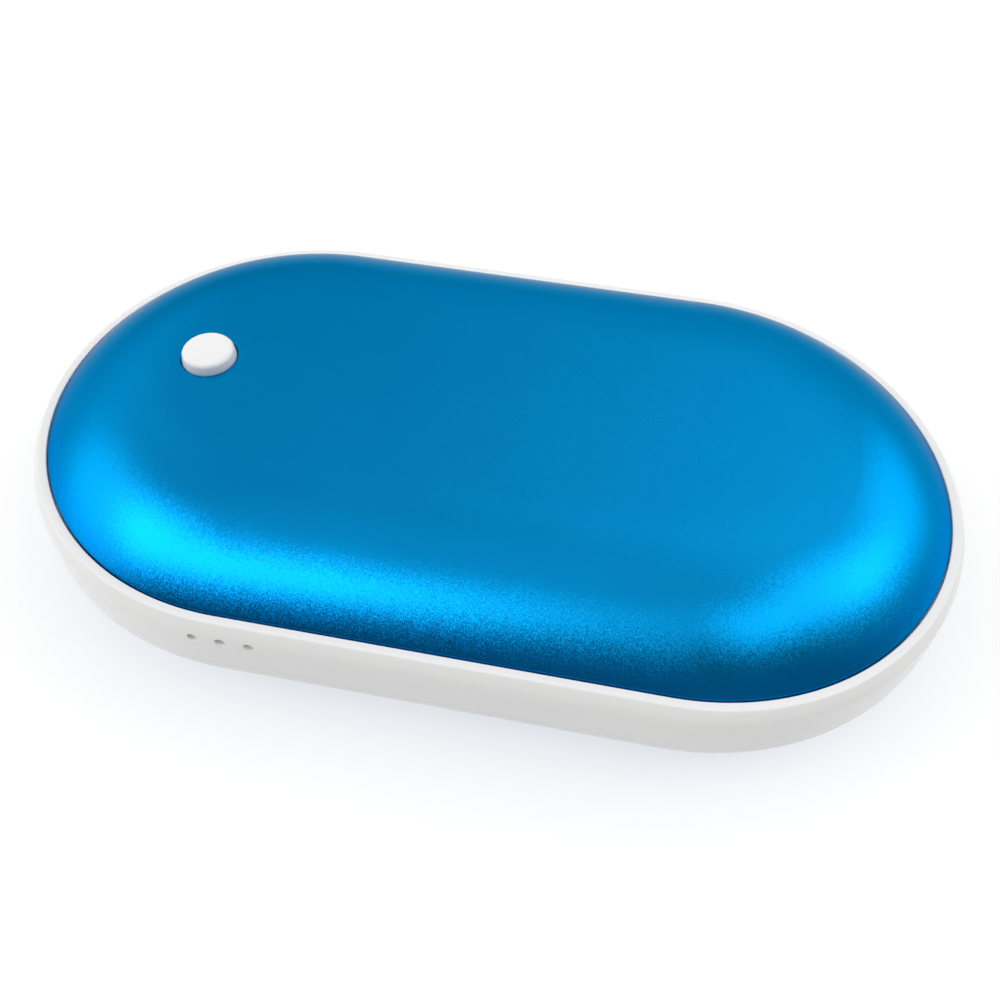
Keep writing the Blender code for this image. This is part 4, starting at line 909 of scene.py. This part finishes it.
# %% Finish: blue anodised aluminium
BLUE, GRAZING_TINT = (0.0015, 0.25, 0.58), (0.40, 0.53, 0.58, 1)
PALER_BLUE, DEEPER_BLUE = (0.0015, 0.255, 0.59), (0.0015, 0.245, 0.57)
# painted shade tint: the purer blue that the shaded steep edge is given
SHADED_EDGE_BLUE = (0.0015, 0.245, 0.66)
FACET_SIZE, FACET_TILT = 0.065 * MM, 0.12
SHADE_TINT_FULL, SHADE_TINT_NONE = 5.2 * MM, 6.6 * MM
aluminium = finish("blue_anodised", BLUE, 0.25, 1.0, Specular_Tint=GRAZING_TINT)
vary(aluminium, facets(aluminium, FACET_SIZE, FACET_TILT), "Roughness", 0.22, 0.26)
tint(aluminium, noise(aluminium, 9 * MM, 3.0), DEEPER_BLUE, PALER_BLUE)
# painted shade: the steep edge, which lies in shade, turns a purer blue by height
paint_edge_shade_tint(aluminium, SHADED_EDGE_BLUE, SHADE_TINT_FULL, SHADE_TINT_NONE)
print("finish:", aluminium.name)

# %% [markdown]
# ## White moulded plastic
#
# The band is glossy white plastic, a shade warmer than the table. The polished mould leaves it
# almost even, with only a dust-fine unevenness in height, gloss and colour: coarser patterns
# would read as stains on white. The button is the same kind of plastic with a duller face, on
# which the fine grain of the mould shows a little more.

# %% Finish: white plastics
white_plastic = finish("white_moulding", (0.765, 0.762, 0.755), 0.18)
bumps(white_plastic, (noise(white_plastic, 0.5 * MM, 1.0), 0.0004 * MM))
vary(white_plastic, noise(white_plastic, 0.4 * MM, 1.0), "Roughness", 0.17, 0.19)
darker, lighter = (0.762, 0.759, 0.752), (0.768, 0.765, 0.758)
tint(white_plastic, noise(white_plastic, 0.3 * MM, 1.0), darker, lighter)

button_plastic = finish("button_moulding", (0.78, 0.78, 0.78), 0.36)
bumps(button_plastic, (noise(button_plastic, 0.16 * MM, 2.0), 0.002 * MM))
vary(button_plastic, noise(button_plastic, 1.5 * MM, 3.0), "Roughness", 0.33, 0.39)
tint(button_plastic, noise(button_plastic, 1.0 * MM, 4.0), (0.775,) * 3, (0.785,) * 3)
print("finishes:", white_plastic.name, button_plastic.name)

# %% [markdown]
# ## Finishes for the sockets and the inside
#
# The CAD solids inside keep their shapes and get better finishes. Stamped steel has drawn
# lines and small dents, gold plating is smooth over them, a board's green lacquer is wavy
# over its copper, the cell's pouch is crinkled foil, foam has pores, and wire insulation has a
# soft shine. Each is a few noises, for height, gloss and colour, at sizes such as these have.

# %% Finish: metals
steel = finish("stamped_steel", (0.62, 0.62, 0.63), 0.26, 1.0)
bumps(steel, (noise(steel, 0.2 * MM, 2.0, stretch=(0.08, 1, 1)), 0.0006 * MM))
vary(steel, noise(steel, 0.8 * MM, 2.0), "Roughness", 0.23, 0.29)
tint(steel, noise(steel, 1.2 * MM, 2.0), (0.60, 0.60, 0.61), (0.64, 0.64, 0.65))

gold = finish("gold_plating", (0.83, 0.62, 0.27), 0.22, 1.0)
bumps(gold, (noise(gold, 0.12 * MM, 2.0), 0.001 * MM))
vary(gold, noise(gold, 0.4 * MM, 3.0), "Roughness", 0.16, 0.30)
tint(gold, noise(gold, 0.5 * MM, 3.0), (0.78, 0.56, 0.22), (0.86, 0.66, 0.31))

foil = finish("pouch_foil", (0.66, 0.67, 0.69), 0.32, 1.0)
bumps(foil, (noise(foil, 6 * MM, 4.0, 0.6), 0.25 * MM), (noise(foil, 0.9 * MM, 3.0), 0.01 * MM))
vary(foil, noise(foil, 3 * MM, 4.0), "Roughness", 0.25, 0.42)
tint(foil, noise(foil, 4 * MM, 3.0), (0.60, 0.61, 0.63), (0.70, 0.71, 0.73))
print("finishes:", steel.name, gold.name, foil.name)

# %% Finish: plastics, films, foam and rubber


def speckled(name, colour, spread, roughness, grain, rise, **sockets):
    """A non-metal whose colour drifts by the share spread and its roughness by 15 percent, with
    a fine bump of one grain that is rise metres high."""
    made = finish(name, colour, roughness, **sockets)
    base = np.array(colour)
    bumps(made, (noise(made, grain, 3.0), rise))
    smoother, rougher = roughness * 0.85, min(1.0, roughness * 1.15)
    vary(made, noise(made, 8 * grain, 3.0), "Roughness", smoother, rougher)
    darker, lighter = tuple(base * (1 - spread)), tuple(np.minimum(base * (1 + spread), 1))
    tint(made, noise(made, 4 * grain, 4.0), darker, lighter)
    return made


black_plastic = speckled(
    "black_moulding", (0.028, 0.028, 0.030), 0.12, 0.34, 0.12 * MM, 0.0008 * MM
)
clear_plastic = speckled(
    "light_guide_plastic", (0.80, 0.81, 0.82), 0.03, 0.22, 0.30 * MM, 0.001 * MM,
    Transmission_Weight=0.35,
)
board_green = speckled(
    "board_lacquer", (0.012, 0.13, 0.055), 0.35, 0.32, 0.50 * MM, 0.010 * MM, Coat_Weight=0.4
)
amber_film = speckled(
    "amber_film", (0.55, 0.22, 0.03), 0.20, 0.30, 0.80 * MM, 0.012 * MM, Coat_Weight=0.3
)
grey_foam = speckled("grey_foam", (0.17, 0.17, 0.18), 0.35, 0.95, 0.45 * MM, 0.12 * MM)
# painted shade: the bead's dark blue stands in for the blue-tinged shade in the joint between shell
# and band
seal_rubber = speckled("seal_bead", (0.015, 0.06, 0.14), 0.20, 0.55, 0.20 * MM, 0.01 * MM)
ferrite = speckled("ferrite", (0.09, 0.09, 0.10), 0.30, 0.55, 0.10 * MM, 0.008 * MM)
red_wire = speckled(
    "red_insulation", (0.52, 0.015, 0.015), 0.12, 0.38, 0.25 * MM, 0.004 * MM, Coat_Weight=0.15
)
black_wire = speckled(
    "black_insulation", (0.018, 0.018, 0.019), 0.20, 0.38, 0.25 * MM, 0.004 * MM, Coat_Weight=0.15
)
led_white = speckled("light_body", (0.82, 0.79, 0.62), 0.06, 0.40, 0.20 * MM, 0.003 * MM)
print("finishes made:", len(bpy.data.materials))

# %% [markdown]
# ## Dress every piece
#
# A new piece stands for its CAD node, rides on that node's body and names the finish slot that
# it takes. The CAD nodes that stay get the better finish in place of their plain one, by slot.

# %% Give out finishes and bodies
NEW_PIECES = [
    (upper_shell, "top_shell", "housing", "blue_aluminium", aluminium),
    (lower_shell, "bottom_shell", "housing", "blue_aluminium", aluminium),
    (band, "middle_frame", "housing", "white_plastic", white_plastic),
    (button, "power_button", "button", "button_plastic", button_plastic),
    (usb_tube, "usb_output_shell", "housing", "steel", steel),
    (micro_tube, "charging_socket_shell", "housing", "steel", steel),
    (snap_dome, "switch_dome", "housing", "steel", steel),
]
for piece, node, body, slot, made in NEW_PIECES:
    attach(piece, body)
    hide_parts(node)
    piece.data.materials.clear()
    piece.data.materials.append(made)
for seal in seals:
    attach(seal, "housing")
    seal.data.materials.append(seal_rubber)
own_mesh(snap_dome)

BY_SLOT = {
    "white_plastic": white_plastic, "button_plastic": button_plastic, "blue_aluminium": aluminium,
    "black_plastic": black_plastic, "clear_plastic": clear_plastic, "steel": steel, "gold": gold,
    "board_green": board_green, "cell_foil": foil, "amber_film": amber_film, "grey_foam": grey_foam,
    "seal_rubber": seal_rubber, "ferrite": ferrite, "red_wire": red_wire, "black_wire": black_wire,
    "led_white": led_white,
}
kept = [node for node in nodes.values() if not node.hide_render]
for node in kept:
    for held in node.material_slots:
        held.material = BY_SLOT[held.material.name]
print("new pieces:", len(NEW_PIECES) + len(seals))
print("CAD nodes kept with a better finish:", len(kept))

# %% [markdown]
# ## The table and the light
#
# The photograph looks like one from a white tent. The table is a wide plane. The camera, gloss
# and clear pieces see it as grey with light of its own, which together read as clean white and
# still take the warmer's soft shadow. All other rays see plain white paper. The tent is the
# world: dim cloth all round, with soft bright patches where lamps shine through it. The
# strongest ones, in front and at both ends, 34 to 58 degrees up, give the shells their broad
# bright band. Each patch fades by a smooth step of the cosine of the angle to its middle, and
# the patches add up. Their places and strengths were tuned until the shells' highlights lay as
# in the photograph. The camera itself sees plain white cloth.

# %% The table
TABLE_HALF, TABLE_DROP = 1.6, 0.05 * MM
TABLE_GLOW, TABLE_GREY, TABLE_WHITE = 0.62, (0.37, 0.37, 0.37, 1), (0.80, 0.80, 0.80)
corners = TABLE_HALF * np.array([(-1, -1, 0), (1, -1, 0), (1, 1, 0), (-1, 1, 0)])
table = make_piece("table", corners - (0, 0, TABLE_DROP), np.array([[0, 1, 2, 3]]))
paper = finish("white_table", TABLE_WHITE, 0.9)
table.data.materials.append(paper)
matt_white = paper.node_tree.nodes["Principled BSDF"].outputs[0]
rays = add_node(paper, "ShaderNodeLightPath").outputs
MATHS = "ShaderNodeMath"
seen = work_out(paper, MATHS, "MAXIMUM", rays["Is Camera Ray"], rays["Is Glossy Ray"])
seen = work_out(paper, MATHS, "MAXIMUM", seen.outputs[0], rays["Is Transmission Ray"])
glow = add_node(paper, "ShaderNodeEmission", Color=(1, 1, 1, 1), Strength=TABLE_GLOW)
soft = add_node(paper, "ShaderNodeBsdfDiffuse", Color=TABLE_GREY)
both = add_node(paper, "ShaderNodeAddShader")
choose = add_node(paper, "ShaderNodeMixShader")
wire_up(paper, glow.outputs[0], both.inputs[0])
wire_up(paper, soft.outputs[0], both.inputs[1])
wire_up(paper, seen.outputs[0], choose.inputs["Fac"])
wire_up(paper, matt_white, choose.inputs[1])
wire_up(paper, both.outputs[0], choose.inputs[2])
wire_up(paper, choose.outputs[0], paper.node_tree.nodes["Material Output"].inputs["Surface"])
print("table is", 2 * TABLE_HALF, "m wide")

# %% The tent
PLAIN = 0.08
PATCHES = [  # azimuth and height of the middle in degrees, reach in degrees, strength
    (-120, 50, 16, 2.73),
    (-150, 42, 22, 2.56),
    (-38, 58, 16, 1.85),
    (12, 34, 16, 1.71),
    (0, 50, 22, 1.57),
    (-169, 24, 32, 1.16),
    (34, 24, 22, 1.15),
    (-98, 58, 16, 0.95),
    (60, 20, 90, 0.75),
    (169, 24, 48, 0.62),
    (-126, 74, 32, 0.51),
    (52, 58, 32, 0.39),
    (150, 10, 45, 0.28),
    (-135, 66, 48, 0.24),
    (128, 58, 22, 0.21),
    (-60, 8, 50, 0.20),
]
tent = bpy.data.worlds.new("tent")
bpy.context.scene.world = tent
tent.use_nodes = True
looking = add_node(tent, "ShaderNodeTexCoord").outputs["Generated"]


def lit_patch(azimuth, height, reach, strength):
    """The light of one soft patch: strength at its middle, falling to nothing at the reach, on
    a smooth step of the dot product of the direction and the middle."""
    azimuth, height, reach = np.radians((azimuth, height, reach))
    middle = (np.cos(azimuth) * np.cos(height), np.sin(azimuth) * np.cos(height), np.sin(height))
    facing = work_out(tent, "ShaderNodeVectorMath", "DOT_PRODUCT", looking, middle)
    return smooth_step(tent, facing.outputs["Value"], np.cos(reach), 1.0, 0.0, strength)


light = PLAIN
for patch in PATCHES:
    light = work_out(tent, MATHS, "ADD", light, lit_patch(*patch)).outputs[0]
level_mix = add_node(tent, "ShaderNodeMix")
background = tent.node_tree.nodes["Background"]
wire_up(tent, add_node(tent, "ShaderNodeLightPath").outputs["Is Camera Ray"], level_mix.inputs[0])
wire_up(tent, light, level_mix.inputs[2])
level_mix.inputs[3].default_value = 1.0
wire_up(tent, level_mix.outputs[0], background.inputs["Strength"])
background.inputs["Color"].default_value = (1, 1, 1, 1)
print("bright patches in the tent:", len(PATCHES))
